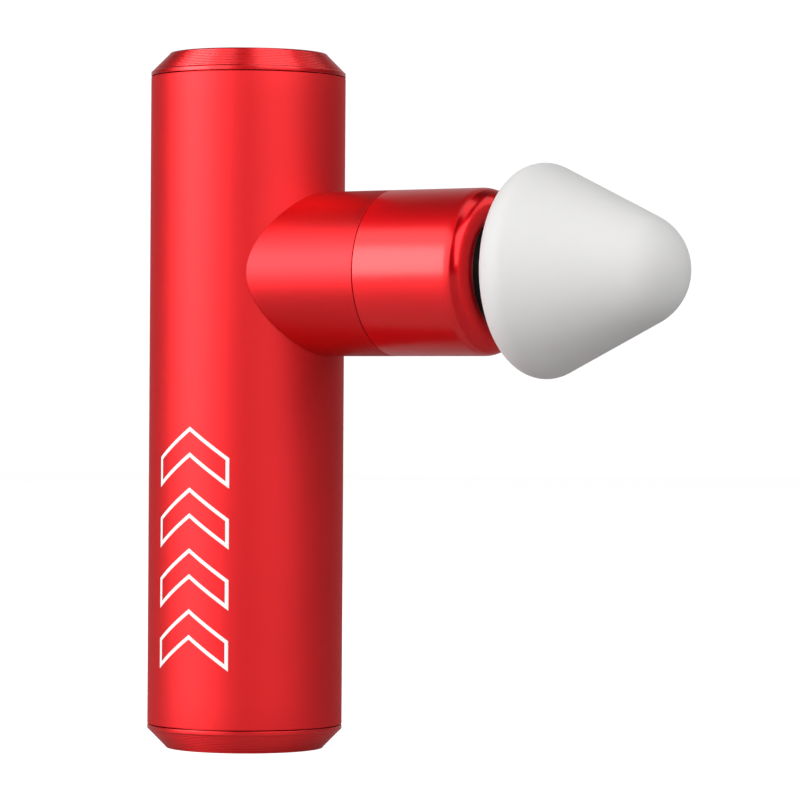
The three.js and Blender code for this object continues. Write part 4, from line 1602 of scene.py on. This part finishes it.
@dataclass
class Motor:
    """The bearings, screws, bell, magnets and coils of the motor."""

    shaft_gap: float = 0.12 * MM
    race: float = 0.45 * MM
    shield: float = 0.15 * MM
    race_edge: float = 0.12 * MM
    screw_shank: float = 0.8 * MM
    screw_head: float = 1.1 * MM
    screw_edge: float = 0.35 * MM
    screw_pitch: float = 0.45 * MM
    thread_depth: float = 0.12 * MM
    socket: float = 0.75 * MM
    socket_depth: float = 0.7 * MM
    bell_top: float = 1.7 * MM
    bell_gap: float = 0.3 * MM
    bell_fillet: float = 0.6 * MM
    groove_height: float = 2 * MM
    groove_depth: float = 0.3 * MM
    groove_floor: Point = (0.2 * MM, 0.8 * MM)
    groove_width: float = 1 * MM
    overcut: float = 1 * MM
    window_count: int = 8
    window_circle: float = 7.8 * MM
    window: Point = (6.0 * MM, 2.6 * MM)
    magnet_count: int = 12
    magnet_thickness: float = 1.0 * MM
    magnet_share: float = 0.9
    tooth_count: int = 9
    tooth_half: float = 0.9 * MM
    coil_start: float = 7.05 * MM
    coil_turns: int = 6
    coil_layers: int = 2
    wire: float = 0.25 * MM
    wire_bend: float = 0.5 * MM

    @property
    def shaft(self) -> float:
        """The motor shaft's radius."""
        return Extent.of("motor_shaft").size.x / 2

    def build(self) -> None:
        """Makes every piece of the motor that has a finer shape than its CAD node."""
        for node in ("lower_bearing", "upper_bearing"):
            self.build_bearing(node)
        for number in range(1, 5):
            self.build_screw(f"plate_screw_{number}")
        self.build_bell()
        self.build_magnets()
        self.build_coils()

    def build_bearing(self, node: str) -> None:
        """A shielded ball bearing: two races with a sunk shield between them.

        Args:
            node: the CAD node that it stands for.
        """
        box = Extent.of(node)
        outer, inner = box.size.x / 2, self.shaft + self.shaft_gap
        section = [
            (inner, 0, self.race_edge),
            (inner + self.race, 0, 0),
            (inner + self.race, self.shield, 0),
            (outer - self.race, self.shield, 0),
            (outer - self.race, 0, 0),
            (outer, 0, EASED),
        ]
        corners = [Corner(r, box.low.z + depth, fillet) for r, depth, fillet in section]
        corners += [Corner(r, box.high.z - depth, fillet) for r, depth, fillet in reversed(section)]
        name = node.replace("bearing", "shielded_bearing")
        bearing = turned(name, rounded(corners, True), Axis.HANDLE, closed=True, steps=64)
        fit(bearing, BRIGHT_STEEL, Body.HANDLE, node)

    def build_screw(self, node: str) -> None:
        """A threaded screw with a hexagon socket in its head.

        Args:
            node: the CAD node that it stands for.
        """
        box = Extent.of(node)
        tip, top = box.low.z, box.high.z
        head, seat = box.size.x / 2, top - self.screw_head
        shank = self.screw_shank
        corners = [Corner(0, tip)]
        for k in range(int((seat - tip) / self.screw_pitch)):
            at = tip + k * self.screw_pitch
            corners += [Corner(shank - self.thread_depth, at), Corner(shank, at + self.screw_pitch / 2)]
        corners += [Corner(shank, seat), Corner(head, seat)]
        corners += [Corner(head, top, self.screw_edge), Corner(0, top)]
        screw = turned(node.replace("plate", "socket"), rounded(corners, False), Axis.HANDLE, steps=24)
        low, high = top - self.socket_depth, top + self.socket_depth
        hexagon = [(0, low), (self.socket, low), (self.socket, high), (0, high)]
        combine(screw, [turned("hexagon", hexagon, Axis.HANDLE, steps=6)], Join.CUT)
        fit(shifted(screw, box.middle), BRIGHT_STEEL, Body.HANDLE, node)

    @staticmethod
    def spoke(radius: float, turn: float) -> Place:
        """Places an outline at a radius and a turn round the shaft, with its depth along the shaft."""
        across, along = math.cos(turn), math.sin(turn)
        return lambda u, v, d: ((radius + u) * across - v * along, (radius + u) * along + v * across, d)

    def build_bell(self) -> None:
        """The rotor's bell, with cooling windows in its top and a balance groove round its skirt."""
        box = Extent.of("motor_bell")
        low, top, outer = box.low.z, box.high.z, box.size.x / 2
        wall, under = Extent.of("magnet_ring").size.x / 2 + self.bell_gap, top - self.bell_top
        groove, floor = low + self.groove_height, outer - self.groove_depth
        hub = self.shaft + self.shaft_gap
        corners = [
            Corner(wall, low),
            Corner(outer, low, SOFT),
            Corner(outer, groove),
            *[Corner(floor, groove + step) for step in self.groove_floor],
            Corner(outer, groove + self.groove_width),
            Corner(outer, top, WIDE),
            Corner(hub, top, EASED),
            Corner(hub, under),
            Corner(wall, under, self.bell_fillet),
        ]
        bell = turned("ventilated_bell", rounded(corners, True), Axis.HANDLE, closed=True, steps=128)
        turns = [2 * math.pi * k / self.window_count for k in range(self.window_count)]
        reach = (under - self.overcut, top + self.overcut)
        outline = slot_outline(*self.window)
        windows = [prism("window", outline, self.spoke(self.window_circle, turn), reach) for turn in turns]
        combine(bell, windows, Join.CUT)
        fit(bell, BRIGHT_STEEL, Body.ROTOR, "motor_bell")

    def build_magnets(self) -> None:
        """A ring of separate magnets."""
        box = Extent.of("magnet_ring")
        outer = box.size.x / 2
        half = self.magnet_share * 180 / self.magnet_count
        outside = arc((0, 0), outer, -half, half, 6)
        inside = arc((0, 0), outer - self.magnet_thickness, half, -half, 6)

        def fill(shape: bmesh.types.BMesh) -> None:
            """Adds the magnets.

            Args:
                shape: the mesh that it is added to.
            """
            for k in range(self.magnet_count):
                place = self.spoke(0, 2 * math.pi * k / self.magnet_count)
                add_prism(shape, outside + inside, place, (box.low.z, box.high.z))

        magnets = piece_from("rotor_magnets", fill)
        fit(magnets, DARK_STEEL, Body.ROTOR, "magnet_ring")

    def build_coils(self) -> None:
        """A coil of two layers round every tooth of the core."""
        core = Extent.of("stator_core")

        def fill(shape: bmesh.types.BMesh) -> None:
            """Adds every turn of every coil.

            Args:
                shape: the mesh that it is added to.
            """
            for tooth in range(self.tooth_count):
                for layer in range(self.coil_layers):
                    reach = self.bell_gap + self.wire * (2 * layer + 1)
                    half = (self.tooth_half + reach, core.size.z / 2 + reach)
                    for k in range(self.coil_turns):
                        centre = Vector((self.coil_start + 2 * k * self.wire, 0, core.middle.z))
                        self.add_turn(shape, centre, 2 * math.pi * tooth / self.tooth_count, half)

        coils = piece_from("motor_coils", fill)
        fit(coils, COPPER_WIRE, Body.HANDLE, "stator_windings")

    def add_turn(self, shape: bmesh.types.BMesh, centre: Vector, turn: float, half: Point) -> None:
        """Adds one closed turn of wire.

        Args:
            shape: the mesh that it is added to.
            centre: the turn's middle, before the tooth's own turn.
            turn: the tooth's turn round the shaft.
            half: half the width and height of the turn, at the middle of the wire.
        """
        spin = Matrix.Rotation(turn, 3, "Z")
        sections = []
        for k in range(16):
            quarter, step = divmod(k, 4)
            lean = math.radians(90 * quarter + 30 * step)
            across = (half[0] - self.wire_bend) * (1 if quarter in (0, 3) else -1)
            up = (half[1] - self.wire_bend) * (1 if quarter in (0, 1) else -1)
            out = Vector((0, math.cos(lean), math.sin(lean)))
            middle = centre + Vector((0, across, up)) + out * self.wire_bend
            sides = [math.radians(60 * n) for n in range(6)]
            ring = [out * math.cos(a) + Vector((math.sin(a), 0, 0)) for a in sides]
            sections.append([shape.verts.new(spin @ (middle + side * self.wire)) for side in ring])
        for first, second in zip(sections, sections[1:] + sections[:1]):
            join_rings(shape, first, second, 6)


# ---- Rings, bush and crank ----


@dataclass
class Rings:
    """The rubber rings, the guide bush, and the crank's roller and pin."""

    running_gap: float = 0.12 * MM
    return_width: float = 2.0 * MM
    bush_groove: float = 0.3 * MM
    bush_pitch: float = 4 * MM
    vibration_width: float = 1.1 * MM
    rib_pitch: float = 2.0 * MM
    rib_depth: float = 0.3 * MM
    pin: float = 1.4 * MM
    pin_head: float = 1.0 * MM

    def build(self) -> None:
        """Makes every ring, and the crank's roller and pin."""
        self.build_cap_seal("bottom_cap_seal")
        self.build_cap_seal("top_cap_seal")
        self.build_return_ring()
        self.build_bush()
        self.build_vibration_ring()
        self.build_roller()
        self.build_pin()

    def build_cap_seal(self, node: str) -> None:
        """A cap's seal, a cord ring of round section.

        Args:
            node: the CAD node that it stands for.
        """
        box = Extent.of(node)
        section = box.size.z / 2
        outline = circle(section, (box.size.x / 2 - section, box.middle.z))
        ring = turned(node.replace("seal", "o_ring"), outline, Axis.HANDLE, closed=True, steps=128)
        fit(ring, BLACK_RUBBER, Body.HANDLE, node)

    def build_return_ring(self) -> None:
        """The soft ring that lifts the button, waisted so that it gives."""
        box = Extent.of("button_return_ring")
        outer, low, high = box.size.x / 2, box.low.z, box.high.z
        inner = outer - self.return_width
        waist = self.return_width / 5
        corners = [
            Corner(inner, low, SOFT),
            Corner(outer, low, SOFT),
            Corner(outer - waist, box.middle.z, WIDE),
            Corner(outer, high, SOFT),
            Corner(inner, high, SOFT),
            Corner(inner + waist, box.middle.z, WIDE),
        ]
        ring = turned("return_spring_ring", rounded(corners, True), Axis.HANDLE, closed=True, steps=96)
        fit(ring, BLACK_RUBBER, Body.HANDLE, "button_return_ring")

    def ribbed(self, outer: float, low: float, high: float, pitch: float, depth: float) -> list[Corner]:
        """The outside of a grooved ring.

        Args:
            outer: the ring's outer radius.
            low: where its first face is along the axis.
            high: where its last face is.
            pitch: how far the grooves are apart.
            depth: how deep they are.

        Returns:
            The corners from the first face to the last.
        """
        corners = [Corner(outer, low, SOFT)]
        count = int((high - low) / pitch) - 1
        first = (low + high) / 2 - (count - 1) * pitch / 2
        for k in range(count):
            at = first + k * pitch
            corners += [Corner(outer, at - depth, BROKEN), Corner(outer - depth, at, EASED)]
            corners.append(Corner(outer, at + depth, BROKEN))
        return [*corners, Corner(outer, high, SOFT)]

    def build_bush(self) -> None:
        """The sintered bush that the rod slides in, with glue grooves outside."""
        box = Extent.of("guide_bush")
        inner = Extent.of("plunger_rod").size.z / 2 + self.running_gap
        low, high = box.low.x, box.high.x
        outside = self.ribbed(box.size.z / 2, low, high, self.bush_pitch, self.bush_groove)
        corners = [Corner(inner, low, SOFT), *outside, Corner(inner, high, SOFT)]
        bush = turned("sintered_bush", rounded(corners, True), Axis.ARM, closed=True, steps=96)
        fit(bush, BRONZE, Body.HANDLE, "guide_bush")

    def build_vibration_ring(self) -> None:
        """The ribbed rubber ring between the guide and the sleeve."""
        box = Extent.of("vibration_ring")
        outer, low, high = box.size.z / 2, box.low.x, box.high.x
        inner = outer - self.vibration_width
        outside = self.ribbed(outer, low, high, self.rib_pitch, self.rib_depth)
        corners = [Corner(inner, low, SOFT), *outside, Corner(inner, high, SOFT)]
        ring = turned("ribbed_damper", rounded(corners, True), Axis.ARM, closed=True, steps=128)
        fit(ring, BLACK_RUBBER, Body.HANDLE, "vibration_ring")

    def build_roller(self) -> None:
        """The hardened roller that runs in the yoke's slot."""
        box = Extent.of("crank_roller")
        outer, inner = box.size.x / 2, self.pin + self.running_gap
        corners = [
            Corner(inner, box.low.z, EASED),
            Corner(outer, box.low.z, FULL),
            Corner(outer, box.high.z, FULL),
            Corner(inner, box.high.z, EASED),
        ]
        roller = turned("hardened_roller", rounded(corners, True), Axis.HANDLE, closed=True, steps=72)
        fit(shifted(roller, box.middle), BRIGHT_STEEL, Body.ROTOR, "crank_roller")

    def build_pin(self) -> None:
        """The headed pin that carries the roller."""
        box = Extent.of("crank_pin")
        head, neck = box.size.x / 2, box.low.z + self.pin_head
        corners = [
            Corner(0, box.low.z),
            Corner(head, box.low.z, SOFT),
            Corner(head, neck, FINE),
            Corner(self.pin, neck),
            Corner(self.pin, box.high.z, SOFT),
            Corner(0, box.high.z),
        ]
        pin = turned("headed_pin", rounded(corners, False), Axis.HANDLE, steps=48)
        fit(shifted(pin, box.middle), BRIGHT_STEEL, Body.ROTOR, "crank_pin")


# ---- Battery and boards ----


@dataclass
class Cells:
    """The two cells: wraps with a rolled crimp, and their bare ends."""

    crimp: float = 2.7 * MM
    crimp_depth: float = 0.45 * MM
    crimp_half: float = 0.6 * MM
    sunk: float = 0.4 * MM
    shoulder: float = 1.8 * MM
    foot: float = 1.2 * MM
    plate: float = 0.15 * MM
    terminal: float = 3.2 * MM
    terminal_slope: float = 0.5 * MM
    corner: float = 0.6 * MM

    def build(self) -> None:
        """Makes both cells, the right one upside down so that the pair is in series."""
        self.build_cell("left", False)
        self.build_cell("right", True)

    def build_cell(self, side: str, over: bool) -> None:
        """One cell.

        Args:
            side: left or right.
            over: whether its positive end is at the bottom.
        """
        node = f"battery_cell_{side}"
        box = Extent.of(node)
        radius, length = box.size.x / 2, box.size.z
        start, way = (box.high.z, -1) if over else (box.low.z, 1)
        rim, bare = radius - self.shoulder, radius - self.foot
        crimp, seat = length - self.crimp, length - self.sunk
        plate = seat + self.plate
        wrap = [
            Corner(0, self.sunk),
            Corner(bare, self.sunk),
            Corner(bare, 0),
            Corner(radius, 0, self.corner),
            Corner(radius, crimp - self.crimp_half, SOFT),
            Corner(radius - self.crimp_depth, crimp, SOFT),
            Corner(radius, crimp + self.crimp_half, SOFT),
            Corner(radius, length, WIDE),
            Corner(rim, length),
            Corner(rim, seat),
            Corner(0, seat),
        ]
        foot = [(0, self.sunk), (bare, self.sunk), (bare, CRISP), (0, CRISP)]
        cap = [
            Corner(0, seat),
            Corner(rim, seat),
            Corner(rim, plate, CRISP),
            Corner(self.terminal + self.terminal_slope, plate, BROKEN),
            Corner(self.terminal, length, BROKEN),
            Corner(0, length),
        ]
        parts = {"wrapped_cell": rounded(wrap, False), "cell_foot": foot, "cell_cap": rounded(cap, False)}
        for name, outline in parts.items():
            placed = [(r, start + way * along) for r, along in outline]
            piece = shifted(turned(f"{name}_{side}", placed, Axis.HANDLE, steps=72), box.middle)
            fit(piece, CELL_WRAP if name == "wrapped_cell" else NICKEL, Body.HANDLE, node)


@dataclass
class Boards:
    """The parts on the boards that get finer shapes."""

    leg_pitch: float = 0.8 * MM
    leg_width: float = 0.35 * MM
    leg: float = 0.07 * MM
    leg_reach: float = 0.8 * MM
    knee: Point = (0.3 * MM, 0.5 * MM)
    heel: Point = (0.35 * MM, 0.15 * MM)
    chip_edge: float = 0.12 * MM
    can_groove: tuple[float, ...] = (1.1 * MM, 1.5 * MM, 1.9 * MM)
    can_groove_depth: float = 0.3 * MM
    can_rim: Point = (0.8 * MM, 0.9 * MM)
    can_sunk: float = 0.15 * MM
    stand_off: float = 0.15 * MM
    housing_share: float = 0.6
    plunger_share: float = 0.28

    def build(self) -> None:
        """Makes the chips, the capacitor and the switch."""
        self.build_chip("controller_chip")
        self.build_chip("motor_driver_chip")
        self.build_capacitor()
        self.build_switch()

    def build_chip(self, node: str) -> None:
        """A moulded chip on two rows of bent legs.

        Args:
            node: the CAD node that it stands for.
        """
        box = Extent.of(node)
        inset = Vector((self.leg_reach, 0, 0))
        lift = Vector((0, 0, self.stand_off))
        body = block(f"{node}_body", box.low + inset + lift, box.high - inset)
        add_bevel(body, self.chip_edge)
        fit(body, BLACK_PLASTIC, Body.HANDLE, node)
        half, edge = box.size.x / 2, box.size.x / 2 - self.leg_reach
        low, middle, leg = box.low.z, box.middle.z, self.leg
        outline = [
            (edge, middle + leg),
            (edge + self.knee[0], middle + leg),
            (edge + self.knee[1], low + 2 * leg),
            (half, low + 2 * leg),
            (half, low),
            (edge + self.heel[0], low),
            (edge + self.heel[1], middle - leg),
            (edge, middle - leg),
        ]
        count = int((box.size.y - self.leg_pitch) / self.leg_pitch) + 1
        first = box.middle.y - (count - 1) * self.leg_pitch / 2

        def fill(shape: bmesh.types.BMesh) -> None:
            """Adds the legs on both sides.

            Args:
                shape: the mesh that it is added to.
            """
            for side in (-1, 1):
                for k in range(count):
                    y = first + k * self.leg_pitch
                    depth = (y - self.leg_width / 2, y + self.leg_width / 2)
                    add_prism(shape, outline, lambda u, v, d: (box.middle.x + side * u, d, v), depth)

        fit(piece_from(f"{node}_legs", fill), NICKEL, Body.HANDLE, node)

    def build_capacitor(self) -> None:
        """A can capacitor with a rolled groove near its foot and a sunk top."""
        box = Extent.of("smoothing_capacitor")
        low, top, radius = box.low.z, box.high.z, box.size.x / 2
        first, middle, last = (low + place for place in self.can_groove)
        rim, hollow = (radius - width for width in self.can_rim)
        corners = [
            Corner(0, low),
            Corner(radius, low, SOFT),
            Corner(radius, first, EASED),
            Corner(radius - self.can_groove_depth, middle, EASED),
            Corner(radius, last, EASED),
            Corner(radius, top, FULL),
            Corner(rim, top, BROKEN),
            Corner(hollow, top - self.can_sunk),
            Corner(0, top - self.can_sunk),
        ]
        can = turned("capacitor_can", rounded(corners, False), Axis.HANDLE, steps=56)
        fit(shifted(can, box.middle), ALUMINIUM, Body.HANDLE, "smoothing_capacitor")

    def build_switch(self) -> None:
        """The button's switch: a square housing with a round plunger."""
        box = Extent.of("tact_switch")
        seat = box.low.z + self.housing_share * box.size.z
        housing = block("switch_housing", box.low, (box.high.x, box.high.y, seat))
        add_bevel(housing, FINE)
        fit(housing, BLACK_PLASTIC, Body.HANDLE, "tact_switch")
        radius = self.plunger_share * box.size.x
        top = box.high.z
        corners = [Corner(0, seat), Corner(radius, seat), Corner(radius, top, BROKEN), Corner(0, top)]
        plunger = turned("switch_plunger", rounded(corners, False), Axis.HANDLE, steps=40)
        fit(shifted(plunger, box.middle), GREY_PLASTIC, Body.HANDLE, "tact_switch", slot="black_plastic")


# ---- Pieces inside, which keep their CAD shapes ----


@dataclass
class Inside:
    """The CAD nodes that stay, each with its own finish."""

    finishes: dict[Finish, str] = field(
        default_factory=lambda: {
            BLACK_PLASTIC: "guide_housing battery_holder button_lead motor_lead",
            GREY_PLASTIC: "motor_chassis battery_connector",
            BOARD: "button_board control_board charge_board",
            BRIGHT_STEEL: "motor_shaft",
            DARK_STEEL: "crank_disc",
            CORE_STEEL: "stator_core",
            COPPER_WIRE: "positive_lead negative_lead",
            NICKEL: "series_tab positive_tab negative_tab",
            ALUMINIUM: "motor_plate plunger_yoke",
            FOAM: "battery_foam_pad",
        }
    )

    def dress(self) -> None:
        """Gives each node its finish."""
        for finish, nodes in self.finishes.items():
            for node in nodes.split():
                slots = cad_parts[node].data.materials
                slots.clear()
                slots.append(finish.material())
                LOG.info("%s has the finish %s", node, finish.name)


# ---- Studio ----


@dataclass(frozen=True)
class Softbox:
    """A rectangular light that faces the arm.

    Its turn is in degrees to the right of the camera, seen from the object, and its rise in degrees
    above the level of the arm. Its reach is its distance.
    """

    name: str
    turn: float
    rise: float
    size: Point
    radiance: float
    reach: float


@dataclass
class Studio:
    """The camera, the floor, the lights and the surroundings.

    A tall key with a hot middle is on the left, and weaker boxes are on the right and overhead.
    """

    azimuth: float = 32.4
    distance: float = 0.8136
    aside: float = 31.6 * MM
    eye_height: float = 71.6 * MM
    roll: float = -0.37
    lens: float = 177.75
    floor_rings: tuple[float, ...] = (0.0, 0.3, 3.0)
    floor_gap: float = 0.02 * MM
    arm_middle: float = 20 * MM
    softboxes: tuple[Softbox, ...] = (
        Softbox("key", -57, 23, (2.0, 1.4), 1.8, 1.3),
        Softbox("key_core", -64, 13, (0.75, 0.7), 3.6, 1.25),
        Softbox("fill", 38, 28, (1.35, 1.1), 2.5, 1.4),
        Softbox("side", 98, 34, (0.9, 0.8), 1.1, 1.3),
        Softbox("overhead", 70, 76, (0.6, 0.6), 1.2, 1.1),
    )

    def across(self) -> Vector:
        """The direction to the camera's right."""
        turn = math.radians(self.azimuth)
        return Vector((math.cos(turn), math.sin(turn), 0))

    def into(self) -> Vector:
        """The direction that the camera looks in."""
        turn = math.radians(self.azimuth)
        return Vector((-math.sin(turn), math.cos(turn), 0))

    def build_camera(self) -> None:
        """A level camera, turned a little about its own axis."""
        data = bpy.data.cameras.new("camera")
        data.sensor_width = 36
        data.lens = self.lens
        data.clip_end = 50
        camera = bpy.data.objects.new("camera", data)
        bpy.context.scene.collection.objects.link(camera)
        target = self.across() * self.aside + Vector((0, 0, self.eye_height))
        camera.location = target - self.into() * self.distance
        camera.rotation_mode = "QUATERNION"
        lean = Quaternion(self.into(), math.radians(self.roll))
        camera.rotation_quaternion = lean @ self.into().to_track_quat("-Z", "Y")
        bpy.context.scene.camera = camera

    def build_floor(self) -> None:
        """A pale round floor that the surroundings run into."""
        outline = [(radius, -self.floor_gap) for radius in self.floor_rings]
        floor = turned("floor", outline, Axis.HANDLE, steps=96)
        floor.data.materials.append(self.floor_material())

    @staticmethod
    def floor_material() -> bpy.types.Material:
        """A pale floor that looks as bright as the surroundings and throws little light up.

        Returns:
            The material.
        """
        shader = Shader("floor")
        shader.fixed(Base_Color=grey(0.45), Roughness=0.8)
        seen = shader.node("ShaderNodeLightPath", output="Is Camera Ray")
        pale = shader.node("ShaderNodeBsdfDiffuse", {}, {"Color": grey(0.45)})
        lift = shader.node("ShaderNodeEmission", {}, {"Color": grey(1.0), "Strength": 0.93})
        both = shader.node("ShaderNodeAddShader", {}, {0: pale, 1: lift})
        shader.show(shader.node("ShaderNodeMixShader", {}, {0: seen, 1: shader.principled, 2: both}))
        return shader.material

    def build_surroundings(self) -> None:
        """White surroundings, bright behind the object and dim in front of it."""
        world = bpy.data.worlds.new("studio")
        bpy.context.scene.world = world
        world.use_nodes = True
        graph = Graph(world.node_tree)
        place = graph.node("ShaderNodeTexCoord", output="Generated")
        settings = {"operation": "DOT_PRODUCT"}
        facing = graph.node("ShaderNodeVectorMath", settings, {0: place, 1: self.into()}, "Value")
        reach = {"Value": facing, "From Min": 0.45, "From Max": 0.95, "To Min": 0.06, "To Max": 0.42}
        strength = graph.node("ShaderNodeMapRange", {"interpolation_type": "SMOOTHSTEP"}, reach)
        felt = graph.node("ShaderNodeBackground", {}, {"Color": grey(1.0), "Strength": strength})
        seen = graph.node("ShaderNodeBackground", {}, {"Color": grey(1.0), "Strength": 1.05})
        path = graph.node("ShaderNodeLightPath", output="Is Camera Ray")
        mix = graph.node("ShaderNodeMixShader", {}, {0: path, 1: felt, 2: seen})
        graph.node("ShaderNodeOutputWorld", {}, {"Surface": mix})

    def build_lights(self) -> None:
        """Puts up every softbox."""
        for box in self.softboxes:
            self.put_up(box)

    def put_up(self, box: Softbox) -> None:
        """Lights one softbox, out of the camera's sight.

        Args:
            box: the softbox.
        """
        width, height = box.size
        data = bpy.data.lights.new(box.name, "AREA")
        data.shape = "RECTANGLE"
        data.size, data.size_y = width, height
        data.energy = box.radiance * math.pi * width * height
        light = bpy.data.objects.new(box.name, data)
        bpy.context.scene.collection.objects.link(light)
        side, up = math.radians(box.turn), math.radians(box.rise)
        level = -self.into() * math.cos(side) + self.across() * math.sin(side)
        out = level * math.cos(up) + Vector((0, 0, math.sin(up)))
        light.location = Vector((self.arm_middle, 0, ARM_Z)) + out * box.reach
        light.rotation_mode = "QUATERNION"
        light.rotation_quaternion = (-out).to_track_quat("-Z", "Y")
        light.visible_camera = False


def main() -> None:
    """Builds the studio and every piece, in order."""
    logging.basicConfig(level=logging.INFO, format="%(name)s: %(message)s")
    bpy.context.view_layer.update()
    bpy.context.scene.view_settings.view_transform = "Standard"
    studio = Studio()
    studio.build_camera()
    studio.build_floor()
    studio.build_surroundings()
    studio.build_lights()
    handle = Handle()
    button = PowerButton()
    handle.build(button.ring_outer)
    Marks().build(handle.radius)
    ChargePort().build()
    button.build()
    Arm().build(handle.radius)
    Plunger().build()
    Head().build()
    Motor().build()
    Rings().build()
    Cells().build()
    Boards().build()
    Inside().dress()


if __name__ == "__main__":
    main()
